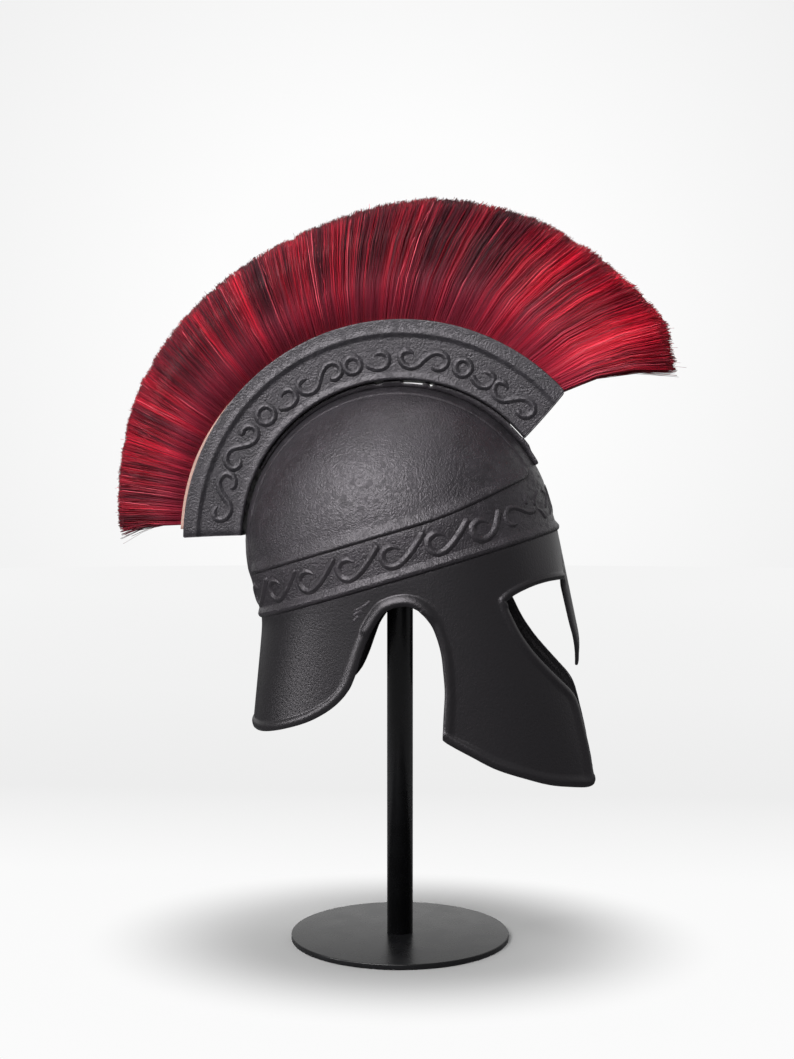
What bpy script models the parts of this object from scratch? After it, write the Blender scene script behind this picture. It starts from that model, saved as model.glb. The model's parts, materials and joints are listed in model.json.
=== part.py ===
"""Crested helmet on a display stand.

A one-piece steel helmet with a brow band, cheek pieces, nose guard and neck guard, a crest box with a hair
plume along its crown, and a plain stand that holds it. The helmet is drawn level in its own frame and then
pitched back onto the stand. World: +X is where the face looks, +Z is up, and the origin is the middle of the
stand's underside.
"""
import math

import bmesh
import bpy
import numpy as np

# Driving dimensions in millimetres and degrees.
MM = 0.001
PITCH = 16.6  # the helmet leans back on the stand by this
HELMET_AT = (6.0, 0.0, 317.7)  # middle of the lower brow bead, in the world

HALF_LENGTH = 130.3  # bowl, front to back
HALF_WIDTH = 100.0  # bowl, side to side
DOME_FROM = 22.0  # the bowl's wall is upright below this height and domed above it
DOME_HEIGHT = 129.0
WALL = 2.0

LOWER_BEAD = (2.8, 4.2)  # height and half width
UPPER_BEAD = (2.2, 3.8)
RIM_BEAD = (2.2, 3.3)
UPPER_BEAD_AT = 35.0  # height of the upper bead at the sides and back
UPPER_BEAD_RISE = 11.0  # and how far it climbs towards the front
RIB_HEIGHT = 1.3
RIB_HALF_WIDTH = 33.0
LEFT_ARCH_BACK = 4.0  # the left ear arch reaches this many degrees further back than the right one
FLARE_SLOPE = 0.41  # how fast the neck guard runs out backwards
NOSE_DROP = 4.4  # how far the nose guard's edges fall back from its ridge

CREST_CENTRE = (2.0, 22.0)  # in the helmet's mid-plane
CREST_IN = 133.8
CREST_STEP = 170.4
CREST_OUT = 184.2
CREST_HALF_WIDTH = 20.0
CREST_FLOOR = 2.4
CREST_FRONT = (23.0, 25.5)  # angle of the cut end at the inside and at the outside
CREST_BACK = (161.9, 163.0)
CHANNEL_HALF_WIDTH = 16.8
FRONT_PLATE = 0.5
BACK_PLATE = 2.2
BLOCK_FRONT_OUT = 184.1  # top of the hair block at the front, level with the flange
BLOCK_BACK_OUT = 187.6  # and at the back, where it stands proud
BLOCK_CLIMB = (126.0, 150.0)  # angles between which it climbs
PLUME_FRONT = 26.0
PLUME_TIP_FRONT = 15.4
PLUME_BACK = 159.6
PLUME_TIP_BACK = 161.0
GAP = 0.3

TAB_ANGLES = (12.5, 136.0)
TAB_HALF_WIDTH = 14.0
TAB_THICKNESS = 3.1  # at its middle in front of the crest box; under the box it fills the room

POST_RADIUS = 11.0
POST_TOP = 463.3
DISC_RADIUS = 92.5
DISC_HEIGHT = 4.6

# Outlines on the right side: angle from the front in degrees, height.
BROW_EDGE = (
    (7.0, -52.0),
    (8.6, -48.6),
    (13.0, -46.4),
    (24.5, -44.2),
    (32.0, -42.8),
    (40.0, -42.2),
    (47.5, -43.3),
    (52.5, -45.2),
    (55.2, -47.5),
)
CHEEK_FRONT = (
    (55.2, -47.5),
    (54.8, -58.0),
    (53.0, -76.0),
    (49.8, -93.0),
    (45.8, -107.5),
    (41.2, -121.5),
    (37.2, -133.0),
    (35.6, -143.0),
    (35.9, -160.0),
    (37.0, -184.0),
    (39.3, -207.5),
)
CHEEK_BACK = (
    (86.4, -34.0),
    (84.6, -41.5),
    (83.2, -52.0),
    (83.0, -70.0),
    (84.3, -88.0),
    (85.8, -103.0),
    (88.6, -121.0),
    (91.0, -137.0),
)
CHEEK_BOTTOM = (
    (39.3, -207.5),
    (43.0, -208.4),
    (50.0, -203.6),
    (58.5, -196.0),
    (66.5, -185.5),
    (76.0, -171.0),
    (83.0, -156.0),
    (88.6, -143.5),
    (91.0, -137.0),
)
NECK_EDGE = (
    (86.4, -34.0),
    (88.4, -29.8),
    (91.6, -27.0),
    (96.0, -26.6),
    (99.6, -29.6),
    (106.2, -43.0),
    (110.4, -55.0),
    (114.2, -68.0),
    (118.6, -80.5),
    (125.0, -90.0),
    (133.0, -95.6),
    (142.0, -97.2),
    (153.0, -96.5),
    (166.0, -93.0),
    (180.0, -90.5),
)
NOSE_EDGE = (
    (7.0, -52.0),
    (6.8, -70.0),
    (6.4, -88.0),
    (5.2, -104.0),
    (3.0, -116.0),
    (0.0, -122.0),
)

# Plume tips: angle about the crest's centre, distance from it.
PLUME_TIPS = (
    (15.4, 268.0),
    (22.0, 284.0),
    (36.0, 286.5),
    (50.0, 289.5),
    (66.0, 287.5),
    (78.0, 279.5),
    (92.0, 270.0),
    (106.0, 266.0),
    (120.0, 262.5),
    (135.0, 257.0),
    (147.0, 248.5),
    (154.0, 245.0),
    (161.0, 241.0),
)

# Finish of each piece: colour, metallic, roughness.
FINISHES = {
    "helmet_shell": ((0.035, 0.034, 0.036), 0.0, 0.5),
    "crest_tab": ((0.035, 0.034, 0.036), 0.0, 0.5),
    "crest_box": ((0.04, 0.039, 0.041), 0.0, 0.5),
    "hair_block": ((0.5, 0.32, 0.22), 0.0, 0.7),
    "plume": ((0.42, 0.012, 0.025), 0.0, 0.6),
    "stand_post": ((0.006, 0.006, 0.006), 0.0, 0.35),
    "stand_disc": ((0.006, 0.006, 0.006), 0.0, 0.35),
}


def smooth_step(value):
    """0 below 0, 1 above 1, and an easy S between them."""
    value = np.clip(value, 0.0, 1.0)
    return value * value * (3.0 - 2.0 * value)


def through(points, count=None, at=None):
    """Points spaced by length along a smooth line through a few points (angle in degrees, height)."""
    points = np.array(points, float)
    ends = np.vstack([2 * points[0] - points[1], points, 2 * points[-1] - points[-2]])
    fine = []
    for i in range(1, len(ends) - 2):
        a, b, c, d = ends[i - 1 : i + 3]
        s = np.linspace(0.0, 1.0, 24, endpoint=False)[:, None]
        fine.append(
            0.5
            * (2 * b + (c - a) * s + (2 * a - 5 * b + 4 * c - d) * s**2 + (3 * b - 3 * c + d - a) * s**3)
        )
    fine = np.vstack([*fine, points[-1:]])
    length = np.r_[0.0, np.cumsum(np.hypot(*(np.diff(fine, axis=0) * (1.9, 1.0)).T))]
    where = np.linspace(0.0, 1.0, count) if at is None else np.array(at)
    return np.stack([np.interp(where * length[-1], length, fine[:, k]) for k in (0, 1)], -1)


def upper_bead_height(angle):
    return UPPER_BEAD_AT + UPPER_BEAD_RISE * smooth_step((78.0 - angle) / 55.0)


def bowl(angle, along):
    """The bowl's plain surface: angle from the front in degrees, and distance up its wall."""
    turn = np.radians(angle)
    up = np.maximum(along - DOME_FROM, 0.0) / DOME_HEIGHT
    below = np.maximum(-along - 9.0, -40.0)
    flare = FLARE_SLOPE * 0.5 * (below + np.sqrt(below**2 + 36.0)) * (along < DOME_FROM)
    flare = flare * smooth_step((angle - 96.0) / 64.0)
    front = smooth_step((30.0 - angle) / 22.0)
    taper = (0.085 * np.maximum(-along - 5.0, 0.0) + 0.008 * np.maximum(-along - 92.0, 0.0) ** 2) * front
    nose = NOSE_DROP * smooth_step((-along - 40.0) / 22.0) * np.minimum(angle / 7.0, 1.5) ** 2
    nose = nose * (angle < 12.0)
    x = (HALF_LENGTH + flare) * np.cos(up) * np.cos(turn) - taper - nose * smooth_step((9.0 - angle) / 1.8)
    y = -(HALF_WIDTH + 0.3 * flare) * np.cos(up) * np.sin(turn)
    z = np.minimum(along, DOME_FROM) + DOME_HEIGHT * np.sin(up)
    return np.stack([x, y, z], -1)


def bowl_normal(angle, along):
    """Outward normal of the bowl, by differences. It points straight up at the crown."""
    top = DOME_FROM + DOME_HEIGHT * math.pi / 2
    along = np.minimum(along, top - 0.5)
    across = bowl(angle + 0.1, along) - bowl(np.maximum(angle - 0.1, 0.0), along)
    upward = bowl(angle, along + 0.2) - bowl(angle, along - 0.2)
    normal = np.cross(upward, across)
    return normal / np.linalg.norm(normal, axis=-1, keepdims=True)


def neck_edge(further_back):
    """The neck guard's edge, with the ear arch's back slope moved backwards by some degrees."""
    angle, height = np.array(NECK_EDGE).T
    share = smooth_step((angle - 94.0) / 10.0) * smooth_step((150.0 - angle) / 26.0)
    return np.stack([angle + further_back * share, height], -1)


def edge_points(further_back):
    """Every free edge of one side of the shell, as closely spaced points on the bowl."""
    edges = (BROW_EDGE, CHEEK_FRONT, CHEEK_BACK, CHEEK_BOTTOM, neck_edge(further_back), NOSE_EDGE)
    lines = [through(edge, 160) for edge in edges]
    angle, height = np.vstack(lines).T
    return bowl(angle, height)


def bead(distance, size):
    """Height of a half-round bead at a distance from its crest line."""
    height, half_width = size
    return height * np.maximum(1.0 - (distance / half_width) ** 2, 0.0)


def relief(angle, along, place, edges):
    """How far the shell's outer face stands off the plain bowl."""
    rib = smooth_step((RIB_HALF_WIDTH + 3.0 - np.abs(place[..., 1])) / 5.0) * RIB_HEIGHT
    rib = rib * smooth_step((along - 24.0) / 12.0)
    upper = bead(along - upper_bead_height(angle), UPPER_BEAD)
    upper = upper * smooth_step((np.abs(place[..., 1]) - RIB_HALF_WIDTH) / 8.0)
    lower = bead(along, LOWER_BEAD)
    apart = np.linalg.norm(place[..., None, :] - edges, axis=-1).min(-1)
    rim = bead(apart - RIM_BEAD[1], RIM_BEAD)
    return np.maximum.reduce([rib, upper, lower, rim])


def hanging_rows(edge_height):
    """Heights from the line under the lower bead down to an edge, close together near the edge."""
    near = edge_height[:, None] + np.array([7.5, 5.2, 3.3, 1.4, 0.0])
    far = -8.0 + (near[:, :1] + 8.0) * np.array([0.0, 0.36, 0.7])
    return np.hstack([far, near])


def column_angles():
    """Angles of the shell's columns in its four parts: nose, brow, cheek and neck."""
    nose = np.array([0.0, 2.6, 5.0, 7.0])
    brow = np.array([7.0, 9.2, 14.0, 21.0, 29.0, 38.0, 47.0, 55.2])
    share = np.array([0.0, 0.035, 0.075, 0.17, 0.38, 0.62, 0.83, 0.925, 0.965, 1.0])
    cheek = 55.2 + (86.4 - 55.2) * share
    neck = np.array([86.4, 88.2, 91.0, 95.0, 99.5, 105.0, 111.0, 117.5, 125.0, 135.0, 149.0, 164.0, 180.0])
    return nose, brow, cheek, neck, share


def shell_patches(further_back):
    """Grids of (angle, distance up the wall) that cover one half of the shell and share their borders."""
    nose, brow, cheek, neck, share = column_angles()
    angles = np.concatenate([nose, brow[1:], cheek[1:], neck[1:]])
    middle = upper_bead_height(angles)[:, None]
    low = np.array([-8.0, -4.2, -2.2, 0.0, 2.2, 4.2]) + 0.0 * middle
    band = 4.2 + (middle - 4.0 - 4.2) * np.array([0.5, 1.0])
    high = middle + np.array([-2.0, 0.0, 2.0, 4.0])
    top = DOME_FROM + DOME_HEIGHT * math.pi / 2
    dome = high[:, -1:] + (top - high[:, -1:]) * np.array([0.13, 0.27, 0.41, 0.55, 0.68, 0.8, 0.9, 1.0])
    along = np.hstack([low, band, high, dome])
    grids = [np.stack([angles[:, None] + 0.0 * along, along], -1)]

    def strip(columns, edge):
        line = through(edge, 400)
        rows = hanging_rows(np.interp(columns, line[:, 0], line[:, 1]))
        return np.stack([columns[:, None] + 0.0 * rows, rows], -1)

    brow_grid = strip(brow, BROW_EDGE)
    neck_grid = strip(neck, neck_edge(further_back))
    grids += [brow_grid, neck_grid]

    side = share[:, None, None]
    upper = brow_grid[-1][None] * (1.0 - side) + neck_grid[0][None] * side
    down = np.array([0.0, 0.035, 0.09, 0.18, 0.28, 0.4, 0.52, 0.64, 0.76, 0.86, 0.93, 0.965, 1.0])
    left = through(CHEEK_FRONT, at=down)
    right = through(CHEEK_BACK, at=down)
    bottom = through(CHEEK_BOTTOM, at=share)
    first = upper[:, -1]
    fall = down[None, :, None]
    blend = (1 - fall) * first[:, None] + fall * bottom[:, None]
    blend = blend + (1 - side) * left[None] + side * right[None]
    corners = (1 - side) * ((1 - fall) * left[0] + fall * left[-1])
    corners = corners + side * ((1 - fall) * right[0] + fall * right[-1])
    grids += [upper, blend - corners]

    root = brow_grid[0]
    part = (nose / nose[-1])[:, None, None]
    grids.append(np.concatenate([part * root[None, :, :1], root[None, :, 1:] + 0.0 * part], -1))
    edge = through(NOSE_EDGE, at=[0.0, 0.15, 0.3, 0.45, 0.6, 0.74, 0.86, 0.95])
    grids.append(np.concatenate([part * edge[None, :, :1], edge[None, :, 1:] + 0.0 * part], -1))
    return grids[:1] + [grid[:, ::-1] for grid in grids[1:]]


def make_object(name, vertices, faces, level=False, weld=True):
    """A closed body facing out. Helmet pieces are given in the helmet's own level frame."""
    vertices = np.array(vertices, float)
    if not level:
        turn = math.radians(PITCH)
        x = math.cos(turn) * vertices[:, 0] - math.sin(turn) * vertices[:, 2]
        z = math.sin(turn) * vertices[:, 0] + math.cos(turn) * vertices[:, 2]
        vertices = np.stack([x, vertices[:, 1], z], -1) + HELMET_AT
    mesh = bpy.data.meshes.new(name)
    mesh.from_pydata((vertices * MM).tolist(), [], [list(map(int, face)) for face in faces])
    body = bmesh.new()
    body.from_mesh(mesh)
    if weld:
        bmesh.ops.remove_doubles(body, verts=body.verts, dist=1e-5)
    bmesh.ops.recalc_face_normals(body, faces=body.faces)
    body.to_mesh(mesh)
    body.free()
    item = bpy.data.objects.new(name, mesh)
    bpy.context.scene.collection.objects.link(item)
    colour, metallic, roughness = FINISHES[name]
    finish = bpy.data.materials.new(name + "_finish")
    finish.use_nodes = True
    shader = finish.node_tree.nodes["Principled BSDF"]
    shader.inputs["Base Color"].default_value = (*colour, 1.0)
    shader.inputs["Metallic"].default_value = metallic
    shader.inputs["Roughness"].default_value = roughness
    mesh.materials.append(finish)
    return item


def grid_faces(columns, rows, first=0):
    """Quads of a grid stored column by column."""
    i, j = np.meshgrid(np.arange(columns - 1), np.arange(rows - 1), indexing="ij")
    a = (first + i * rows + j).ravel()
    return np.stack([a, a + rows, a + rows + 1, a + 1], -1)


def build_shell():
    """Both skins of both halves, with a wall closing them along every free edge."""
    outer, inner, faces, count = [], [], [], 0
    for side, further_back in ((1.0, 0.0), (-1.0, LEFT_ARCH_BACK)):
        edges = edge_points(further_back)
        for grid in shell_patches(further_back):
            angle, along = grid[..., 0], grid[..., 1]
            place = bowl(angle, along)
            normal = bowl_normal(angle, along)
            normal[(angle < 1e-6) | (angle > 179.999), 1] = 0.0
            top = along > DOME_FROM + DOME_HEIGHT * math.pi / 2 - 1e-6
            normal[top] = (0.0, 0.0, 1.0)
            normal = normal / np.linalg.norm(normal, axis=-1, keepdims=True)
            raised = relief(angle, along, place, edges)
            raised[top] = RIB_HEIGHT
            flip = np.array([1.0, side, 1.0])
            outer.append(((place + normal * raised[..., None]) * flip).reshape(-1, 3))
            inner.append(((place - normal * WALL) * flip).reshape(-1, 3))
            faces.append(grid_faces(*angle.shape, first=count)[:, :: int(side)])
            count += angle.size
    outer, inner, faces = np.vstack(outer), np.vstack(inner), np.vstack(faces)
    _, same = np.unique(np.round(outer, 3) + 0.0, axis=0, return_inverse=True)
    same = same.ravel()
    keep = np.zeros(same.max() + 1, int)
    keep[same] = np.arange(len(same))
    outer, inner = outer[keep], inner[keep]
    faces = [list(dict.fromkeys(face)) for face in same[faces].tolist()]
    faces = [face for face in faces if len(face) > 2]
    sides = {(a, b) for face in faces for a, b in zip(face, face[1:] + face[:1])}
    total = len(outer)
    free = sorted((a, b) for a, b in sides if (b, a) not in sides)
    back = [[v + total for v in face[::-1]] for face in faces]
    wall = [[b, a, a + total, b + total] for a, b in free]
    return make_object("helmet_shell", np.vstack([outer, inner]), faces + back + wall, weld=False)


def on_crest(radius, angle, across):
    """A point of the crest by its distance and angle about the crest's centre, and how far sideways."""
    turn = np.radians(angle)
    x = CREST_CENTRE[0] + radius * np.cos(turn)
    z = CREST_CENTRE[1] + radius * np.sin(turn)
    return np.stack(np.broadcast_arrays(x, across, z), -1)


def crest_angle(share, radius, front_in=0.0, back_in=0.0):
    """Angle at a share of the way from the cut front end to the cut back end."""
    outward = (radius - CREST_IN) / (CREST_OUT - CREST_IN)
    front = CREST_FRONT[0] + (CREST_FRONT[1] - CREST_FRONT[0]) * outward + front_in
    back = CREST_BACK[0] + (CREST_BACK[1] - CREST_BACK[0]) * outward - back_in
    return front + (back - front) * share


def build_crest_box():
    """A channel bent over the crown: two bordered side plates, a floor and two end plates."""
    half = CREST_HALF_WIDTH
    right = [
        (CREST_OUT, CHANNEL_HALF_WIDTH),
        (CREST_OUT, half),
        (CREST_STEP + 0.6, half),
        (CREST_STEP - 0.4, half - 1.4),
        (CREST_IN + 5.6, half - 1.4),
        (CREST_IN + 4.6, half + 0.1),
        (CREST_IN + 2.8, half + 0.9),
        (CREST_IN + 1.0, half + 0.1),
        (CREST_IN, half - 1.4),
    ]
    skin = np.array([(r, -y) for r, y in right] + [(r, y) for r, y in right[::-1]])
    floor = CREST_IN + CREST_FLOOR
    pocket = np.array(
        [
            (CREST_OUT, -CHANNEL_HALF_WIDTH),
            (floor, -CHANNEL_HALF_WIDTH),
            (floor, CHANNEL_HALF_WIDTH),
            (CREST_OUT, CHANNEL_HALF_WIDTH),
        ]
    )
    inside = np.linspace(0.0, 1.0, 45)
    points, faces = [], []

    def station(profile, share, front_in=0.0, back_in=0.0):
        radius, across = profile.T
        points.append(on_crest(radius, crest_angle(share, radius, front_in, back_in), across))
        return sum(len(p) for p in points[:-1])

    starts = [station(skin, 0.0)]
    starts += [station(skin, s, FRONT_PLATE, BACK_PLATE) for s in inside]
    starts += [station(skin, 1.0)]
    hollow = [station(pocket, s, FRONT_PLATE, BACK_PLATE) for s in inside]
    last = len(skin) - 1
    for a, b in zip(starts, starts[1:]):
        faces += [[a + k, a + k + 1, b + k + 1, b + k] for k in range(last)]
    for a, b in zip(hollow, hollow[1:]):
        faces += [[a + k, b + k, b + k + 1, a + k + 1] for k in range(3)]
    faces += [[starts[0], starts[1], starts[1] + last, starts[0] + last]]
    faces += [[starts[-2], starts[-1], starts[-1] + last, starts[-2] + last]]
    faces += [[starts[0] + k for k in range(last, -1, -1)], [starts[-1] + k for k in range(last + 1)]]
    faces += [[hollow[0] + k for k in range(4)], [hollow[-1] + k for k in range(3, -1, -1)]]
    return make_object("crest_box", np.vstack(points), faces)


def build_arch(name, corners, angles, section):
    """A bar with the same section at every station, bent about the crest's centre."""
    points = np.vstack([section(corners, angle) for angle in angles])
    faces, around = [], len(corners)
    for n in range(len(angles) - 1):
        a, b = around * n, around * (n + 1)
        faces += [[a + k, a + (k + 1) % around, b + (k + 1) % around, b + k] for k in range(around)]
    end = around * (len(angles) - 1)
    faces += [list(range(around - 1, -1, -1)), list(range(end, end + around))]
    return make_object(name, points, faces)


def block_out(angle):
    """Distance of the hair block's top from the crest's centre."""
    first, last = BLOCK_CLIMB
    climb = smooth_step((angle - first) / (last - first))
    return BLOCK_FRONT_OUT + (BLOCK_BACK_OUT - BLOCK_FRONT_OUT) * climb


def build_hair_block():
    """The block that the hair is set in. It fills the channel and stands proud of it at the back."""
    low, half = CREST_IN + CREST_FLOOR + GAP, CHANNEL_HALF_WIDTH - GAP
    corners = np.array([(0.0, -half), (1.0, -half), (1.0, half), (0.0, half)])
    insets = (FRONT_PLATE + 0.15, BACK_PLATE + 0.15)

    def section(corner, share):
        level, across = corner.T
        top = block_out(crest_angle(share, CREST_OUT, *insets))
        radius = low + (top - low) * level
        return on_crest(radius, crest_angle(share, radius, *insets), across)

    return build_arch("hair_block", corners, np.linspace(0.0, 1.0, 61), section)


def build_tab():
    """A strip bent along the comb rib, between the rib and the crest box and out in front of the box.

    Its underside follows the dome sideways, and its top is flat.
    """
    half = TAB_HALF_WIDTH
    bottom = [(0.0, y) for y in (half, half / 2, 0.0, -half / 2, -half)]
    corners = np.array(bottom[2:] + [(1.0, -half), (1.0, half)] + bottom[:2])
    angles = np.linspace(*TAB_ANGLES, 43)
    crest_centre = np.array([CREST_CENTRE[0], 0.0, CREST_CENTRE[1]])
    dome_centre = np.array([0.0, 0.0, DOME_FROM])

    def section(corner, angle):
        turn = math.radians(angle)
        outward = np.array([math.cos(turn), 0.0, math.sin(turn)])
        middle = dome_centre + np.array([HALF_LENGTH, 0.0, DOME_HEIGHT]) * outward
        low = RIB_HEIGHT + GAP
        high = low + TAB_THICKNESS
        if angle > CREST_FRONT[0] - 4.0:
            room = CREST_IN - GAP - np.linalg.norm(middle - crest_centre)
            high = min(high, max(room, low + 0.6))
        level, across = corner[:, :1], corner[:, 1:]
        fall = np.where(level > 0.0, 1.0, np.sqrt(1.0 - (across / HALF_WIDTH) ** 2))
        point = dome_centre + (middle - dome_centre) * fall
        return point + (low + (high - low) * level) * outward + across * np.array([0.0, 1.0, 0.0])

    return build_arch("crest_tab", corners, angles, section)


def build_plume():
    """The brush's outer form: roots on the block, tips along a wider arc that leans forward."""
    stations, levels = 41, np.array([0.0, 0.12, 0.35, 0.6, 0.82, 0.95, 1.0])
    half = np.array([14.8, 17.0, 20.0, 22.0, 21.5, 19.0, 14.0])
    share = np.linspace(0.0, 1.0, stations)
    root = PLUME_FRONT + (PLUME_BACK - PLUME_FRONT) * share
    tip = PLUME_TIP_FRONT + (PLUME_TIP_BACK - PLUME_TIP_FRONT) * share
    tips = np.array(PLUME_TIPS)
    reach = np.interp(tip, tips[:, 0], tips[:, 1])
    rounding = np.minimum(1.0, np.sqrt(np.minimum(share, 1.0 - share) / 0.03 + 0.25))
    points, faces = [], []
    for n in range(stations):
        start = block_out(root[n]) + GAP
        radius = start + (reach[n] - start) * levels
        angle = root[n] + (tip[n] - root[n]) * levels**1.2
        wide = half * (rounding[n] * levels**0.5 + 1.0 - levels**0.5)
        points += [on_crest(radius, angle, -wide), on_crest(radius, angle, wide)[::-1]]
    loop = 2 * len(levels)
    for n in range(stations - 1):
        a, b = loop * n, loop * (n + 1)
        faces += [[a + k, a + (k + 1) % loop, b + (k + 1) % loop, b + k] for k in range(loop)]
    end = loop * (stations - 1)
    for k in range(len(levels) - 1):
        faces.append([loop - 1 - k, loop - 2 - k, k + 1, k])
        faces.append([end + k, end + k + 1, end + loop - 2 - k, end + loop - 1 - k])
    return make_object("plume", np.vstack(points), faces)


def build_turned(name, outline, sides=72):
    """A body turned about the upright axis from a short outline of (radius, height)."""
    turn = np.linspace(0.0, 2 * math.pi, sides, endpoint=False)
    points = [np.stack([r * np.cos(turn), r * np.sin(turn), 0 * turn + z], -1) for r, z in outline]
    faces = []
    for n in range(len(outline) - 1):
        a, b = sides * n, sides * (n + 1)
        faces += [[a + k, a + (k + 1) % sides, b + (k + 1) % sides, b + k] for k in range(sides)]
    end = sides * (len(outline) - 1)
    faces += [list(range(sides - 1, -1, -1)), list(range(end, end + sides))]
    return make_object(name, np.vstack(points), faces, level=True)


for item in list(bpy.data.objects):
    bpy.data.objects.remove(item)

build_shell()
build_tab()
build_crest_box()
build_hair_block()
build_plume()
build_turned("stand_post", [(POST_RADIUS, DISC_HEIGHT + GAP), (POST_RADIUS, POST_TOP)], sides=40)
build_turned(
    "stand_disc",
    [
        (DISC_RADIUS - 0.6, 0.0),
        (DISC_RADIUS, 0.6),
        (DISC_RADIUS, DISC_HEIGHT - 0.6),
        (DISC_RADIUS - 0.6, DISC_HEIGHT),
    ],
)
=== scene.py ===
"""Looks of a crested helmet on a display stand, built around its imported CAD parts.

The sections follow the helmet as it is put together: the shell, the scrolls raised on it, the crest tab, the
crest box and its scrolls, the hair block, the plume and the stand. The floor, lights and camera come last.
Lengths are in millimetres and angles in degrees until a piece is put into the scene. The floor, the lights
and the camera are in metres.
"""
import json
import math

import bpy
import numpy as np
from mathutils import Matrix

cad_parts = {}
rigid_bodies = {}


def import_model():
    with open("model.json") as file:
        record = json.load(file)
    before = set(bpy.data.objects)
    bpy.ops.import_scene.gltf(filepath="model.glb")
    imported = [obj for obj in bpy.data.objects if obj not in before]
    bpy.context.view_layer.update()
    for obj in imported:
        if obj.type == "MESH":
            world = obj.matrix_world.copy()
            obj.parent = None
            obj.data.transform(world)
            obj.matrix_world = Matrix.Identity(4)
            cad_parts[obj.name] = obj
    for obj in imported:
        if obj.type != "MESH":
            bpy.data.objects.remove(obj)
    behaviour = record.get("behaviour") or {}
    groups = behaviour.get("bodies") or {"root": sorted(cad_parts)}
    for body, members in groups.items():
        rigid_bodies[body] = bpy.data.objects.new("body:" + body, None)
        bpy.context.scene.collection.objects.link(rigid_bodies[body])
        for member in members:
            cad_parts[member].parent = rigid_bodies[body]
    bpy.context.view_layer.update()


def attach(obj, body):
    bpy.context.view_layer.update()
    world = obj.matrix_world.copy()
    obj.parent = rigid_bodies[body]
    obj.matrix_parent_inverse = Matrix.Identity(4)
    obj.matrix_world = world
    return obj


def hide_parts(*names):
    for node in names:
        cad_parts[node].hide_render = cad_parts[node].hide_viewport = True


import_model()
for item in list(bpy.data.objects):
    if item.type in ("CAMERA", "LIGHT"):
        bpy.data.objects.remove(item)

# ------------------------------------------------------------------------------
# Helmet shell. One sheet of steel raised over a former into a dome, cheek pieces, nose guard and neck guard,
# with a comb rib, two brow beads, a rolled ear arch and bordered edges beaten up in it. It is sprayed with
# a thick matt charcoal paint.
MM = 0.001
LEAN = math.radians(16.6)  # backwards on the post
SHELL_AT = (6.0, 0.0, 317.7)  # middle of the lower brow bead
HALF_LENGTH = 130.3
HALF_WIDTH = 100.0
DOME_FROM = 22.0  # the wall is upright below this height and domed above it
DOME_HEIGHT = 129.0
CROWN = DOME_FROM + DOME_HEIGHT * math.pi / 2
SHEET = 2.0
FLARE_SLOPE = 0.41  # of the back, outwards for its depth
NOSE_DROP = 4.4  # how far the nose guard folds back at its edge
LEFT_ARCH_BACK = 4.0  # degrees that the left ear arch reaches further back than the right one
UPPER_BEAD_AT = 31.8
UPPER_BEAD_RISE = 11.0
UPPER_BEAD = (1.75, 7.0, 2.3)  # height, width of the soft side above its crest, width of the steep side
CORNER_RISE = 8.0  # how far the upper bead turns up beside the comb rib
CORNER_ANGLE = 19.6  # where it meets the rib
LOWER_BEAD_AT = -3.6
LOWER_BEAD = (2.3, 4.8, 3.6)  # as the upper one
SKIRT_FROM = -12.0  # the cheeks, nose guard and neck guard hang below this height
RIB_HEIGHT = 0.85
RIB_HALF_WIDTH = 33.0
EAR_ROLL = (2.9, 6.4, 2.6, 1.8)  # as a bead, and how full its soft side is
EAR_ROLL_IN = 2.4  # how far in from the edge its crest lies
EAR_ROLL_RUN = 50.0  # how far the roll follows the edge backwards from the arch's front corner
EAR_ROLL_END = 3.4  # length of its rounded back end
EAR_ROLL_FADE = (4.0, 26.0)  # run down the cheek's back edge over which it sinks away
LIP = 0.75  # how far the rounded edge of the sheet bulges
LIP_ROUND = 0.4  # how far inside each skin that bulge begins
DEGREE_RUN = 1.9  # rough length of one degree round the brow

# Outlines of the right half: angle from the front, height. The corners where two of them meet come first.
NOSE_CORNER = (7.0, -52.0)  # where the nose guard leaves the brow
CHEEK_CORNER = (55.2, -47.5)
EAR_CORNER = (86.4, -34.0)
CHIN_CORNER = (39.3, -207.5)
JAW_CORNER = (91.0, -137.0)
BROW_EDGE = (
    NOSE_CORNER, (7.15, -50.6), (7.6, -49.2), (8.6, -48.0), (10.2, -47.1), (13.0, -46.4), (24.5, -44.2),
    (32.0, -42.8), (40.0, -42.2), (47.5, -43.3), (52.5, -45.2), CHEEK_CORNER,
)
CHEEK_FRONT = (
    CHEEK_CORNER, (54.8, -58.0), (53.0, -76.0), (49.8, -93.0), (45.8, -107.5), (41.2, -121.5),
    (37.2, -133.0), (35.6, -143.0), (35.9, -160.0), (37.0, -184.0), CHIN_CORNER,
)
CHEEK_BACK = (
    EAR_CORNER, (84.6, -41.5), (83.2, -52.0), (83.0, -70.0), (84.3, -88.0), (85.8, -103.0),
    (88.6, -121.0), JAW_CORNER,
)
CHEEK_BOTTOM = (
    CHIN_CORNER, (43.0, -208.4), (50.0, -203.6), (58.5, -196.0), (66.5, -185.5), (76.0, -171.0),
    (83.0, -156.0), (88.6, -143.5), JAW_CORNER,
)
NECK_EDGE = (
    EAR_CORNER, (88.4, -29.8), (91.6, -27.0), (96.0, -26.6), (99.6, -29.6), (106.2, -43.0),
    (110.4, -55.0), (114.2, -68.0), (118.6, -80.5), (125.0, -90.0), (133.0, -95.6), (142.0, -97.2),
    (153.0, -96.5), (166.0, -93.0), (180.0, -90.5),
)
NOSE_EDGE = (
    NOSE_CORNER, (6.8, -70.0), (6.4, -88.0), (5.2, -104.0), (3.0, -116.0), (0.0, -122.0),
)

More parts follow.
